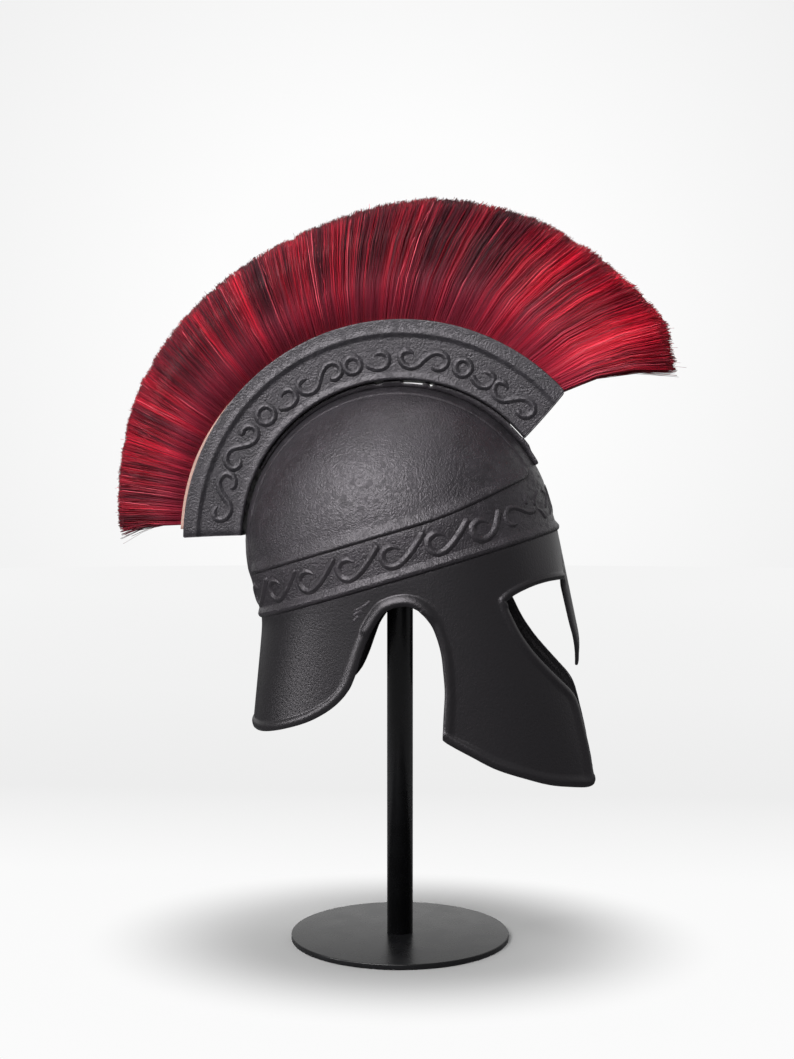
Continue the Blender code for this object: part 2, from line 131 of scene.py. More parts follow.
# Border along each edge: how far in its crest lies, height, half width, and how square its top is.
BORDERS = {
    "brow": (2.8, 1.6, 2.9, 2.0),
    "nose": (2.0, 0.7, 2.0, 2.0),
    "cheek_front": (2.9, 1.2, 3.0, 2.6),
    "cheek_back": (3.2, 1.2, 3.2, 4.0),
    "cheek_bottom": (3.6, 1.6, 3.6, 3.0),
    "neck": (3.3, 1.15, 3.8, 2.0),
}


def smooth_step(value):
    """0 below 0, 1 above 1, and 3v^2 - 2v^3 between them."""
    value = np.clip(value, 0.0, 1.0)
    return value * value * (3.0 - 2.0 * value)


def between(pair, share):
    """A value at a share of the way from the first of a pair to the second."""
    return pair[0] + (pair[1] - pair[0]) * share


def run_along(line):
    """How far each point of a line lies along it, by adding up its steps."""
    return np.r_[0.0, np.cumsum(np.linalg.norm(np.diff(line, axis=0), axis=-1))]


def through(points, at):
    """Points at shares of the length of a Catmull-Rom line through a few points (angle, height).

    The line is 0.5 (2b + (c - a) s + (2a - 5b + 4c - d) s^2 + (3b - 3c + d - a) s^3) between b and c.
    """
    points = np.array(points, float)
    ends = np.vstack([2 * points[0] - points[1], points, 2 * points[-1] - points[-2]])
    s = np.linspace(0.0, 1.0, 24, endpoint=False)[:, None]
    a, b, c, d = (ends[k : len(ends) - 3 + k, None] for k in range(4))
    fine = 2 * b + (c - a) * s + (2 * a - 5 * b + 4 * c - d) * s**2 + (3 * b - 3 * c + d - a) * s**3
    fine = np.vstack([0.5 * fine.reshape(-1, 2), points[-1:]])
    length = run_along(fine * (DEGREE_RUN, 1.0))
    return np.stack([np.interp(np.array(at) * length[-1], length, fine[:, k]) for k in (0, 1)], -1)


def upper_bead_height(angle):
    """Level round the sides and back, rising in an S curve from 78 to 23 degrees.

    Beside the rib it turns up, and the turned-up corner dies away as exp(-degrees / 2.6).
    """
    corner = CORNER_RISE * np.exp(-np.maximum(angle - CORNER_ANGLE, 0.0) / 2.6)
    return UPPER_BEAD_AT + UPPER_BEAD_RISE * smooth_step((78.0 - angle) / 55.0) + corner


def bowl(angle, along):
    """The plain bowl: an ellipse at every level, upright below DOME_FROM and a quarter ellipse above it.

    Going down, the back runs outwards after a soft bend, by the slope times (b + sqrt(b^2 + 6^2)) / 2 for a
    depth b under 9 mm. The front falls in by 0.085 of the depth under 5 mm, and by 0.008 of its square under
    92 mm. From 36 to 55 mm down, the nose guard folds back from its ridge by the angle squared.
    """
    turn = np.radians(angle)
    up = np.maximum(along - DOME_FROM, 0.0) / DOME_HEIGHT
    below = np.maximum(-along - 9.0, -40.0)
    flare = FLARE_SLOPE * 0.5 * (below + np.sqrt(below**2 + 36.0)) * (along < DOME_FROM)
    flare = flare * smooth_step((angle - 96.0) / 64.0)
    front = smooth_step((30.0 - angle) / 22.0)
    taper = (0.085 * np.maximum(-along - 5.0, 0.0) + 0.008 * np.maximum(-along - 92.0, 0.0) ** 2) * front
    nose = NOSE_DROP * smooth_step((-along - 36.0) / 19.0) * np.minimum(angle / NOSE_CORNER[0], 1.0) ** 2
    nose = nose * smooth_step((15.0 - angle) / 8.0)
    x = (HALF_LENGTH + flare) * np.cos(up) * np.cos(turn) - taper - nose
    y = -(HALF_WIDTH + 0.3 * flare) * np.cos(up) * np.sin(turn)
    z = np.minimum(along, DOME_FROM) + DOME_HEIGHT * np.sin(up)
    return np.stack([x, y, z], -1)


def bowl_normal(angle, along):
    """Outward normal of the bowl: the cross product of its two slopes, level at the mid-plane."""
    along = np.minimum(along, CROWN - 0.5)
    across = bowl(angle + 0.1, along) - bowl(np.maximum(angle - 0.1, 0.0), along)
    upward = bowl(angle, along + 0.2) - bowl(angle, along - 0.2)
    normal = np.cross(upward, across)
    normal[(angle < 1e-6) | (angle > 179.999), 1] = 0.0
    return normal / np.linalg.norm(normal, axis=-1, keepdims=True)


def neck_edge(further_back):
    """The neck guard's edge, with the ear arch's back slope moved backwards by some degrees."""
    angle, height = np.array(NECK_EDGE).T
    share = smooth_step((angle - 94.0) / 10.0) * smooth_step((150.0 - angle) / 26.0)
    return np.stack([angle + further_back * share, height], -1)


def edge_lines(further_back):
    """Each free edge of one half as closely spaced points on the bowl, by name."""
    outlines = {
        "brow": BROW_EDGE,
        "nose": NOSE_EDGE,
        "cheek_front": CHEEK_FRONT,
        "cheek_back": CHEEK_BACK,
        "cheek_bottom": CHEEK_BOTTOM,
        "neck": neck_edge(further_back),
    }
    shares = np.linspace(0.0, 1.0, 320)
    return {name: bowl(*through(outline, shares).T) for name, outline in outlines.items()}


def beside(place, line):
    """How far each point is from a line of closely spaced points, and how far along it the nearest is."""
    flat = place.reshape(-1, 3)
    square = (flat**2).sum(-1)[:, None] + (line**2).sum(-1) - 2.0 * flat @ line.T
    nearest = square.argmin(-1)
    apart = np.sqrt(np.maximum(square[np.arange(len(flat)), nearest], 0.0))
    return apart.reshape(place.shape[:-1]), run_along(line)[nearest].reshape(place.shape[:-1])


def bead(distance, height, half_width, square=2.0):
    """A bead's height at a distance from its crest: height * (1 - |distance / half_width| ^ square)."""
    return height * np.maximum(1.0 - np.abs(distance / half_width) ** square, 0.0)


def ridge(distance, height, soft, steep, bend=1.15):
    """A bead with a gentle side and a round one.

    It is height * (1 - (d / soft)^bend) on the side where d is positive, and a quarter ellipse on the other.
    """
    gentle = np.maximum(1.0 - np.maximum(distance / soft, 0.0) ** bend, 0.0)
    rounded = np.sqrt(np.maximum(1.0 - (distance / steep) ** 2, 0.0))
    return height * np.where(distance > 0.0, gentle, rounded)


def brow_relief(angle, along, place):
    """Rib, upper bead and lower bead, whichever stands highest, with a faint groove under the upper bead.

    The rib's side is an S curve, 2 mm wide on the dome and 8 mm on the band, where the rib sinks away. The
    groove is a bell curve 2.6 mm below the upper bead's crest. It and the bead end beside the rib.
    """
    beyond = np.abs(place[..., 1]) - RIB_HALF_WIDTH
    above = along - upper_bead_height(angle)
    step = 2.0 + 6.0 * smooth_step(-above / 4.0)
    rib = smooth_step(0.5 - beyond / step) * RIB_HEIGHT * smooth_step((along - 24.0) / 12.0)
    fade = smooth_step((beyond + 1.0) / 4.0)
    groove = 0.25 * np.exp(-(((above + 2.6) / 1.0) ** 2)) * fade
    upper = ridge(above, *UPPER_BEAD) * fade
    lower = ridge(along - LOWER_BEAD_AT, *LOWER_BEAD)
    return np.maximum.reduce([rib, upper, lower]) - groove


def edge_relief(place, lines):
    """The borders along the free edges, and the roll round the ear arch, which ends like a rounded bar.

    The brow's border turns the corner into the nose guard's lower one: both follow the nearer edge there, and
    each keeps a share of its height, which is the other edge's distance over the sum of the two.
    """
    raised = np.zeros(place.shape[:-1])
    distances = {name: beside(place, line) for name, line in lines.items()}
    brow, nose = distances["brow"][0], distances["nose"][0]
    share = {"brow": nose / np.maximum(brow + nose, 1e-6), "nose": brow / np.maximum(brow + nose, 1e-6)}
    for name, (inset, height, half_width, square) in BORDERS.items():
        apart, run = distances[name]
        from_edge = np.minimum(brow, nose) if name in share else apart
        border = bead(from_edge - inset, height, half_width, square) * share.get(name, 1.0)
        raised = np.maximum(raised, border)
        if name == "neck":
            end = np.sqrt(np.clip(1.0 - ((run - EAR_ROLL_RUN) / EAR_ROLL_END) ** 2, 0.0, 1.0))
            end = np.where(run < EAR_ROLL_RUN, 1.0, end)
            raised = np.maximum(raised, ridge(apart - EAR_ROLL_IN, *EAR_ROLL) * end)
        if name == "cheek_back":
            fade = smooth_step((EAR_ROLL_FADE[1] - run) / (EAR_ROLL_FADE[1] - EAR_ROLL_FADE[0]))
            raised = np.maximum(raised, ridge(apart - EAR_ROLL_IN, *EAR_ROLL) * fade)
    return raised


def spread(start, stop, count, crowd_start=0.0, crowd_stop=0.0):
    """Numbers from start to stop, crowded towards an end: s + a (s^2 - s)(1 - s) + b (s - s^2) s."""
    s = np.linspace(0.0, 1.0, count)
    s = s + crowd_start * (s**2 - s) * (1.0 - s) + crowd_stop * (s - s**2) * s
    return between((start, stop), s)


def shell_patches(further_back):
    """Grids of (angle, distance up the wall) that cover one half of the shell and share their borders.

    The crown grid runs from just under the lower bead to the crown. Under it hang the brow, neck and nose
    strips, whose rows end on their edge, and the cheek, which is a Coons patch between its four edges. The
    rows and columns crowd where a bead, a border or the rib's side is steep.
    """
    nose = spread(0.0, NOSE_CORNER[0], 7)
    corner = np.array([7.06, 7.15, 7.28, 7.45, 7.65, 7.9, 8.2, 8.6])
    beside_rib = CORNER_ANGLE + np.array([-1.2, -0.6, 0.0, 0.7])
    brow = np.sort(np.r_[spread(NOSE_CORNER[0], CHEEK_CORNER[0], 32, 0.5, 0.45), corner, beside_rib])
    cheek_share = spread(0.0, 1.0, 38, 0.85, 0.85)
    cheek = between((CHEEK_CORNER[0], EAR_CORNER[0]), cheek_share)
    neck = np.r_[spread(EAR_CORNER[0], 118.0, 50), spread(118.0, 180.0, 33)[1:]]
    angles = np.concatenate([nose, brow[1:], cheek[1:], neck[1:]])
    middle = upper_bead_height(angles)[:, None]
    steep_side = np.array([-5.6, -4.2, -3.65, -3.5, -3.1, -2.5, -1.8, -1.0, -0.3])
    soft_side = np.array([0.0, 0.5, 1.3, 2.3, 3.3, 4.1, 4.7, 5.6])
    low = np.r_[SKIRT_FROM, LOWER_BEAD_AT + np.r_[steep_side, soft_side]] + 0.0 * middle
    steep_side = np.array([-4.2, -3.3, -2.8, -2.45, -2.3, -2.0, -1.5, -0.9, -0.35])
    soft_side = np.array([0.0, 0.5, 1.4, 2.6, 3.9, 5.2, 6.2, 7.0])
    high = middle + np.r_[steep_side, soft_side]
    band = between((low[:, -1:], high[:, :1]), spread(0.0, 1.0, 9)[1:-1])
    sine = np.maximum(np.sin(np.radians(angles)), 1e-6)
    up = np.arccos(np.minimum(RIB_HALF_WIDTH / HALF_WIDTH / sine, 1.0))
    slope = np.maximum(HALF_WIDTH / DOME_HEIGHT * np.sin(up) * sine, 0.2)[:, None]
    rib_edge = np.maximum((DOME_FROM + DOME_HEIGHT * up)[:, None], high[:, -1:] + 1.0 + 1.0 / slope)
    rib_edge = rib_edge + np.array([-1.0, -0.65, -0.35, 0.0, 0.35, 0.65, 1.0]) / slope
    below = between((high[:, -1:], rib_edge[:, :1]), spread(0.0, 1.0, 30)[1:-1])
    beyond = between((rib_edge[:, -1:], CROWN), spread(0.0, 1.0, 20)[1:])
    along = np.hstack([low, band, high, below, rib_edge, beyond])
    grids = [np.stack([angles[:, None] + 0.0 * along, along], -1)]

    border_depth, border_from = 11.0, 0.55  # the lowest 11 mm take the last 45 in 100 of a strip's rows
    rows = np.r_[spread(0.0, border_from, 15)[:-1], spread(border_from, 1.0, 16)]

    def strip(columns, edge):
        """Columns that hang from SKIRT_FROM down to the edge."""
        line = through(edge, np.linspace(0.0, 1.0, 500))
        height = np.interp(columns, line[:, 0], line[:, 1])[:, None]
        near = border_depth / (SKIRT_FROM - height)
        plain = rows / border_from * (1.0 - near)
        close = 1.0 - near + near * (rows - border_from) / (1.0 - border_from)
        shares = np.where(rows <= border_from, plain, close)
        hanging = between((SKIRT_FROM, height), shares)
        return np.stack([columns[:, None] + 0.0 * hanging, hanging], -1)

    brow_grid = strip(brow, BROW_EDGE)
    neck_grid = strip(neck, neck_edge(further_back))
    side = cheek_share[:, None, None]
    upper = brow_grid[-1][None] * (1.0 - side) + neck_grid[0][None] * side
    grids += [brow_grid, neck_grid, upper]

    down = spread(0.0, 1.0, 70, 0.25, 0.55)
    left = through(CHEEK_FRONT, down)
    right = through(CHEEK_BACK, down)
    bottom = through(CHEEK_BOTTOM, cheek_share)
    fall = down[None, :, None]
    blend = (1 - fall) * upper[:, -1][:, None] + fall * bottom[:, None]
    blend = blend + (1 - side) * left[None] + side * right[None]
    corners = (1 - side) * ((1 - fall) * left[0] + fall * left[-1])
    corners = corners + side * ((1 - fall) * right[0] + fall * right[-1])
    grids.append(blend - corners)

    part = (nose / nose[-1])[:, None, None]
    for line in (brow_grid[0], through(NOSE_EDGE, spread(0.0, 0.97, 34))):
        grids.append(np.concatenate([part * line[:, :1], line[:, 1:] + 0.0 * part], -1))
    return grids[:1] + [grid[:, ::-1] for grid in grids[1:]]


def grid_faces(columns, rows, first=0):
    """Quads of a grid of points stored column by column."""
    i, j = np.meshgrid(np.arange(columns - 1), np.arange(rows - 1), indexing="ij")
    a = (first + i * rows + j).ravel()
    return np.stack([a, a + rows, a + rows + 1, a + 1], -1)


def doubles(points):
    """Makes points that agree to 0.001 one: which are kept, and which of those each point becomes."""
    found = np.unique(np.round(points, 3) + 0.0, axis=0, return_index=True, return_inverse=True)
    return found[1], found[2].ravel()


def shell_surface():
    """Both skins of both halves: the bowl pushed outwards by its relief, and the bowl pushed in by the sheet.

    Along each free edge two more rows, pushed out past the edge, join the skins with a rounded lip. With the
    points and faces goes a mask for the grain and the painted shade: 0 on the skirt, which is smooth and
    painted darker, and 1 on the band and the dome.
    """
    outer, normals, faces, grain_and_shade, count = [], [], [], [], 0
    for side, further_back in ((1.0, 0.0), (-1.0, LEFT_ARCH_BACK)):
        lines = edge_lines(further_back)
        for part, grid in enumerate(shell_patches(further_back)):
            angle, along = grid[..., 0], grid[..., 1]
            place, normal = bowl(angle, along), bowl_normal(angle, along)
            top = along > CROWN - 1e-6
            normal[top] = (0.0, 0.0, 1.0)
            raised = brow_relief(angle, along, place) if part == 0 else edge_relief(place, lines)
            raised[top] = RIB_HEIGHT
            flip = np.array([1.0, side, 1.0])
            outer.append(((place + normal * raised[..., None]) * flip).reshape(-1, 3))
            normals.append((normal * flip).reshape(-1, 3))
            # Mask for the paint's grain and the skirt's painted shade: 0 on the skirt, 1 on the band and the
            # dome.
            grain_and_shade.append(smooth_step((along + 10.6) / 6.0).ravel())
            faces.append(grid_faces(*angle.shape, first=count)[:, :: -int(side)])
            count += angle.size
    outer, normals, faces, grain_and_shade = map(np.concatenate, (outer, normals, faces, grain_and_shade))
    # Points that two grids share are made one. At the crown that leaves triangles among the quads.
    keep, same = doubles(outer)
    outer, normals, grain_and_shade, faces = outer[keep], normals[keep], grain_and_shade[keep], same[faces]
    whole = (np.diff(np.sort(faces, axis=1), axis=1) > 0).all(1)
    quads, pinched = faces[whole], faces[~whole]
    triangles = np.array([row[np.sort(np.unique(row, return_index=True)[1])] for row in pinched])
    # A side of a face with no face beyond it lies on a free edge.
    sides = [np.stack([g, np.roll(g, -1, axis=1)], -1).reshape(-1, 2) for g in (quads, triangles)]
    sides = np.concatenate(sides)
    total = len(outer)
    forward, backward = sides @ (total, 1), sides @ (1, total)
    free = sides[~np.isin(forward, backward)]
    step = outer[free[:, 1]] - outer[free[:, 0]]
    ahead = np.zeros_like(outer)
    np.add.at(ahead, free[:, 0], step)
    np.add.at(ahead, free[:, 1], step)
    rim = np.unique(free)
    outward = np.cross(ahead[rim], normals[rim])
    outward = outward / np.linalg.norm(outward, axis=-1, keepdims=True)
    inner = outer - normals * SHEET
    upper_lip = outer[rim] + outward * LIP - normals[rim] * LIP_ROUND
    lower_lip = inner[rim] + outward * LIP + normals[rim] * LIP_ROUND
    lip = np.zeros(total, int)
    lip[rim] = 2 * total + np.arange(len(rim))
    levels = [free.T, lip[free.T], lip[free.T] + len(rim), free.T + total]
    wall = [np.stack([q, p, r, s], -1) for (p, q), (r, s) in zip(levels, levels[1:])]
    points = np.concatenate([outer, inner, upper_lip, lower_lip])
    grain_and_shade = np.concatenate([grain_and_shade, grain_and_shade, grain_and_shade[rim], grain_and_shade[rim]])
    quads = np.concatenate([quads, quads[:, ::-1] + total, *wall])
    return points, [quads, np.concatenate([triangles, triangles[:, ::-1] + total])], grain_and_shade


def lean_back(points, faces):
    """Turns a shape from the helmet's own level frame about the side axis and moves it onto the stand."""
    x = math.cos(LEAN) * points[:, 0] - math.sin(LEAN) * points[:, 2]
    z = math.sin(LEAN) * points[:, 0] + math.cos(LEAN) * points[:, 2]
    return np.stack([x, points[:, 1], z], -1) + SHELL_AT, faces


def add_piece(name, shape, paint, slot, *nodes):
    """Puts a shape into the scene: points in millimetres and an array of faces for each corner count."""
    points, face_groups = shape
    face_groups = [np.asarray(group) for group in face_groups if len(group)]
    corners = np.concatenate([group.ravel() for group in face_groups]).astype(np.int32)
    sizes = np.concatenate([np.full(len(group), group.shape[1]) for group in face_groups])
    mesh = bpy.data.meshes.new(name)
    mesh.vertices.add(len(points))
    mesh.vertices.foreach_set("co", (points * MM).astype(np.float32).ravel())
    mesh.loops.add(len(corners))
    mesh.loops.foreach_set("vertex_index", corners)
    mesh.polygons.add(len(sizes))
    mesh.polygons.foreach_set("loop_start", (np.cumsum(sizes) - sizes).astype(np.int32))
    mesh.polygons.foreach_set("use_smooth", np.ones(len(sizes), bool))
    mesh.update(calc_edges=True)
    mesh.materials.append(paint)
    piece = bpy.data.objects.new(name, mesh)
    bpy.context.scene.collection.objects.link(piece)
    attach(piece, "root")
    if nodes:
        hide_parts(*nodes)
    return piece


def colour(code):
    """An sRGB hex colour as linear values: v / 12.92 below 0.04045, ((v + 0.055) / 1.055)^2.4 above."""
    value = np.array([int(code[k : k + 2], 16) for k in (1, 3, 5)]) / 255.0
    linear = np.where(value <= 0.04045, value / 12.92, ((value + 0.055) / 1.055) ** 2.4)
    return (*linear.tolist(), 1.0)


def feed(node, inputs):
    """Sets a node's inputs by name or number: to a value, or as a link from a socket or a node's output."""
    for name, source in inputs.items():
        if isinstance(source, bpy.types.Node):
            source = next(output for output in source.outputs if output.enabled)
        if isinstance(source, bpy.types.NodeSocket):
            node.id_data.links.new(source, node.inputs[name])
        else:
            node.inputs[name].default_value = source


def add_node(material, kind, inputs=(), **settings):
    """Adds one node to a material, with its settings and then its inputs."""
    node = material.node_tree.nodes.new(kind)
    for name, value in settings.items():
        setattr(node, name, value)
    feed(node, dict(inputs))
    return node


def new_material(name):
    """A new node material and its shader."""
    material = bpy.data.materials.new(name)
    material.use_nodes = True
    shader = material.node_tree.nodes["Principled BSDF"]
    return material, shader


def set_ramp(ramp, stops):
    """Puts (place, hex colour) stops on a colour ramp."""
    points = ramp.color_ramp.elements
    while len(points) < len(stops):
        points.new(0.5)
    for point, (place, code) in zip(points, stops):
        point.position = place
        point.color = colour(code)


# Layers of the paint's pattern: lumps to a metre, and the noise's detail, roughness and distortion.
PAINT_LAYERS = {
    "patches": (60.0, 4.0, 0.6, 0.0),
    "blotches": (190.0, 3.0, 0.6, 0.0),
    "pits": (330.0, 1.0, 0.5, 0.4),
    "wrinkles": (500.0, 2.0, 0.5, 0.3),
    "drops": (950.0, 1.0, 0.55, 0.0),
}


def charcoal_paint(name, base, light, rough, grit, skirt_painted_shade=None):
    """Thick matt charcoal enamel sprayed on steel: a soft, faintly violet sheen over a leathery grain.

    The grain is drops of 1 mm, wrinkles of 2 mm and shallow pits 3 mm apart, added up for the bump. Blotches
    of 5 mm are duller, and worn-in patches of 17 mm change the shade and the gloss a little. Where the
    shell's mask is 0, on the skirt, the paint is smooth and even in gloss, and its colour is darker: painted
    shade.
    """
    material, shader = new_material(name)
    where = add_node(material, "ShaderNodeTexCoord").outputs["Object"]
    layer = {}
    for part, settings in PAINT_LAYERS.items():
        inputs = dict(zip(("Vector", "Scale", "Detail", "Roughness", "Distortion"), (where, *settings)))
        layer[part] = add_node(material, "ShaderNodeTexNoise", inputs)
    # Three of the layers are stretched from a range of their own to what they add.
    level = {}
    for part, *limits in (
        ("patches", 0.3, 0.7, rough - 0.03, rough + 0.03),
        ("blotches", 0.54, 0.57, -0.025, 0.2),
        ("pits", 0.3, 0.42, -0.25, 0.0),
    ):
        inputs = dict(zip(("Value", "From Min", "From Max", "To Min", "To Max"), (layer[part], *limits)))
        level[part] = add_node(material, "ShaderNodeMapRange", inputs)
    shade = add_node(material, "ShaderNodeValToRGB", {"Fac": layer["patches"]})
    set_ramp(shade, [(0.34, base), (0.68, light)])
    gloss = add_node(material, "ShaderNodeMath", {0: level["patches"], 1: level["blotches"]}, operation="ADD")
    lumps = {0: layer["wrinkles"], 1: 1.5, 2: layer["drops"]}
    lumps = add_node(material, "ShaderNodeMath", lumps, operation="MULTIPLY_ADD")
    height = add_node(material, "ShaderNodeMath", {0: lumps, 1: level["pits"]}, operation="ADD")
    bump = add_node(material, "ShaderNodeBump", {"Height": height, "Strength": grit, "Distance": 0.0007})
    if skirt_painted_shade:
        grain_and_shade = add_node(material, "ShaderNodeAttribute", attribute_name="grain_and_shade").outputs["Fac"]
        depth = {"Value": grain_and_shade, "To Min": 0.16, "To Max": grit}
        feed(bump, {"Strength": add_node(material, "ShaderNodeMapRange", depth)})
        shade = {"Factor": grain_and_shade, "A": colour(skirt_painted_shade), "B": shade}
        shade = add_node(material, "ShaderNodeMix", shade, data_type="RGBA")
        gloss = add_node(material, "ShaderNodeMapRange", {"Value": grain_and_shade, "To Min": rough, "To Max": gloss})
    feed(shader, {"Base Color": shade, "Roughness": gloss, "Normal": bump})
    feed(shader, {"Specular Tint": (1.0, 0.945, 1.0, 1.0)})
    return material


# The last colour, #171618, is painted shade on the skirt: cheeks, nose guard and neck guard are made darker
# in colour.
helmet_paint = charcoal_paint("charcoal_painted_steel", "#232124", "#2d2a2e", 0.355, 0.55, "#171618")
shell_points, shell_faces, shell_grain_and_shade = shell_surface()
shell_shape = lean_back(shell_points, shell_faces)
shell = add_piece("painted_shell", shell_shape, helmet_paint, "helmet_paint", "helmet_shell")
# The mask goes on the shell as a point attribute, for the grain and the skirt's painted shade.
grain_and_shade_map = shell.data.attributes.new("grain_and_shade", "FLOAT", "POINT")
grain_and_shade_map.data.foreach_set("value", shell_grain_and_shade.astype(np.float32))

# ------------------------------------------------------------------------------
# Brow scrolls. A running row of hooks between the two brow beads, with a small palmette over the nose. They
# are raised in the same sheet, so they carry the same paint and grow out of the band without a joint. A few
# small creases that the raising left in the sheet go with them.
SCROLL_WIDTH = 6.0
SCROLL_HEIGHT = 1.6
HOOK_PITCH = 37.6
HOOK_COUNT = 7
LAST_HOOK_AT = 332.0  # run along the brow from the front's middle to the rearmost hook's centre
HOOK_LEVEL = 12.0
HOOK_SIZE = 1.09  # how much larger the hooks are than the outline below
LINE_STEP = 0.8  # distance between the rings of a raised line
THIN_START = 11.0  # length over which a hook's inner end thickens
SMALL_THIN_START = 6.0  # the same for the wave and the palmette
CREASE = (2.8, 0.2)  # width and height of a crease in the sheet

# One hook: forwards and up from its centre.
HOOK = (
    (7.0, 3.4), (3.2, 6.4), (-1.5, 7.2), (-6.0, 4.6), (-7.4, 0.2), (-6.0, -4.4), (-1.8, -7.0),
    (3.0, -6.6), (8.5, -4.0), (14.0, -0.2), (20.3, 5.0), (27.0, 11.3),
)
FRONT_TAIL = ((8.0, -4.3), (12.0, -0.2), (15.6, 5.4), (18.6, 11.4))  # the foremost hook's shorter tail
# Lines near the front: run along the brow from the middle, height.
WAVE = (
    (71.3, 8.7), (75.4, 8.6), (79.7, 9.7), (82.0, 13.3), (80.8, 18.3), (76.2, 22.0), (70.3, 21.6),
    (64.7, 19.2), (59.0, 16.0), (52.6, 14.2), (46.0, 14.8),
)
WAVE_SPUR = ((52.0, 30.4), (54.6, 25.7), (55.6, 20.7))
# Right half of the palmette; the last line is its middle stem, which both halves share.
PALMETTE = (
    ((28.0, 30.5), (36.5, 26.8), (42.2, 22.4), (45.6, 18.2)),
    ((42.5, 15.6), (38.0, 12.6), (34.4, 8.2), (33.6, 5.0)),
    ((28.5, 13.6), (20.8, 17.2), (16.6, 22.4), (19.4, 27.0), (25.4, 28.4)),
    ((20.4, 7.0), (12.4, 11.8), (7.0, 18.0), (6.2, 25.0), (9.8, 31.2)),
    ((0.0, 7.0), (0.0, 15.0), (0.0, 24.0), (0.0, 33.0)),
)
# Small creases in the sheet at the nose guard's root and beside the ear roll's back end.
CREASES = (
    ((7.5, -34.8), (13.0, -33.4), (18.0, -37.4)),
    ((6.0, -29.8), (11.0, -29.0), (14.5, -32.0)),
    ((224.5, -21.0), (216.0, -19.6), (208.5, -16.6)),
    ((226.0, -24.6), (221.0, -22.6), (217.0, -22.2)),
    ((227.0, -28.8), (223.5, -26.6), (221.0, -25.6)),
)


def arc_line(points):
    """Evenly spaced points on the Catmull-Rom line through a few flat points."""
    scale = (DEGREE_RUN, 1.0)
    fine = through(np.array(points, float) / scale, np.linspace(0.0, 1.0, 400)) * scale
    run = run_along(fine)
    where = np.linspace(0.0, run[-1], max(int(run[-1] / LINE_STEP), 6))
    return np.stack([np.interp(where, run, fine[:, k]) for k in (0, 1)], -1)


def raised_line(path, outward, width, height, thin_start=0.0, closed=False):
    """A raised line laid on a surface: a section carried along a path.

    Across the line the section is a soft gable, height * (1 - |t|^1.22), closed 0.9 mm under the surface. At
    both ends its size shrinks as a quarter circle, to 0.06 at the least, and over thin_start it also grows
    from a third to the whole.
    """
    if closed:
        ahead = np.roll(path, -1, axis=0) - np.roll(path, 1, axis=0)
    else:
        ahead = np.gradient(path, axis=0)
    across = np.cross(ahead, outward)
    across = across / np.linalg.norm(across, axis=-1, keepdims=True)
    size = np.ones(len(path))
    if not closed:
        run = run_along(path)
        end = np.minimum(run, run[-1] - run) / (0.5 * width)
        size = np.maximum(np.sqrt(1.0 - (1.0 - np.minimum(end, 1.0)) ** 2), 0.06)
        if thin_start:
            size = size * (0.34 + 0.66 * smooth_step(run / thin_start))
    t = np.array([-1.0, -0.93, -0.8, -0.55, -0.28, 0.0, 0.28, 0.55, 0.8, 0.93, 1.0])
    top = np.stack([t * width / 2, height * (1.0 - np.abs(t) ** 1.22)], -1)
    section = np.vstack([top, [(0.45 * width, -0.9), (-0.45 * width, -0.9)]])
    place = size[:, None] * section[:, 0]
    rise = np.where(section[:, 1] > 0.0, size[:, None] * section[:, 1], section[:, 1] + 0.0 * size[:, None])
    return path[:, None] + place[..., None] * across[:, None] + rise[..., None] * outward[:, None]


def loft_faces(stations, around, first=0, closed=False):
    """Quads between the rings of a loft, and its two end faces unless it closes on itself."""
    i, k = np.meshgrid(np.arange(stations if closed else stations - 1), np.arange(around), indexing="ij")
    nexti, nextk = (i + 1) % stations, (k + 1) % around
    corner = [i * around + k, i * around + nextk, nexti * around + nextk, nexti * around + k]
    quads = first + np.stack(corner, -1).reshape(-1, 4)
    ring = np.arange(around)
    caps = [] if closed else [first + ring[::-1], first + (stations - 1) * around + ring]
    return quads, caps


def join_lofts(lofts):
    """Several lofts, each (points, closed), as one set of points, quads and end faces."""
    quads, caps, points, first = [], [], [], 0
    for rings, closed in lofts:
        some, ends = loft_faces(len(rings), rings.shape[1], first, closed)
        quads.append(some)
        caps += ends
        points.append(rings.reshape(-1, 3))
        first += rings.shape[0] * rings.shape[1]
    return np.concatenate(points), [np.concatenate(quads), np.array(caps)]


def brow_angle(run):
    """Angle from the front at a run along the brow: the ellipse's length in 1800 steps, read backwards."""
    turn = np.linspace(0.0, math.pi, 1801)
    pace = np.hypot(HALF_LENGTH * np.sin(turn), HALF_WIDTH * np.cos(turn))
    length = np.r_[0.0, np.cumsum((pace[1:] + pace[:-1]) / 2 * np.diff(turn))]
    return np.degrees(np.interp(np.abs(run), length, turn)) * np.sign(run)


def on_brow(line, side):
    """Points and normals of the bowl along a line of (run along the brow, height)."""
    angle, height = brow_angle(line[:, 0]), line[:, 1]
    flip = np.array([1.0, side, 1.0])
    turned = np.where(angle[:, None] < 0.0, (1.0, -1.0, 1.0), (1.0, 1.0, 1.0))
    place = bowl(np.abs(angle), height) * turned
    return place * flip, bowl_normal(np.abs(angle), height) * turned * flip


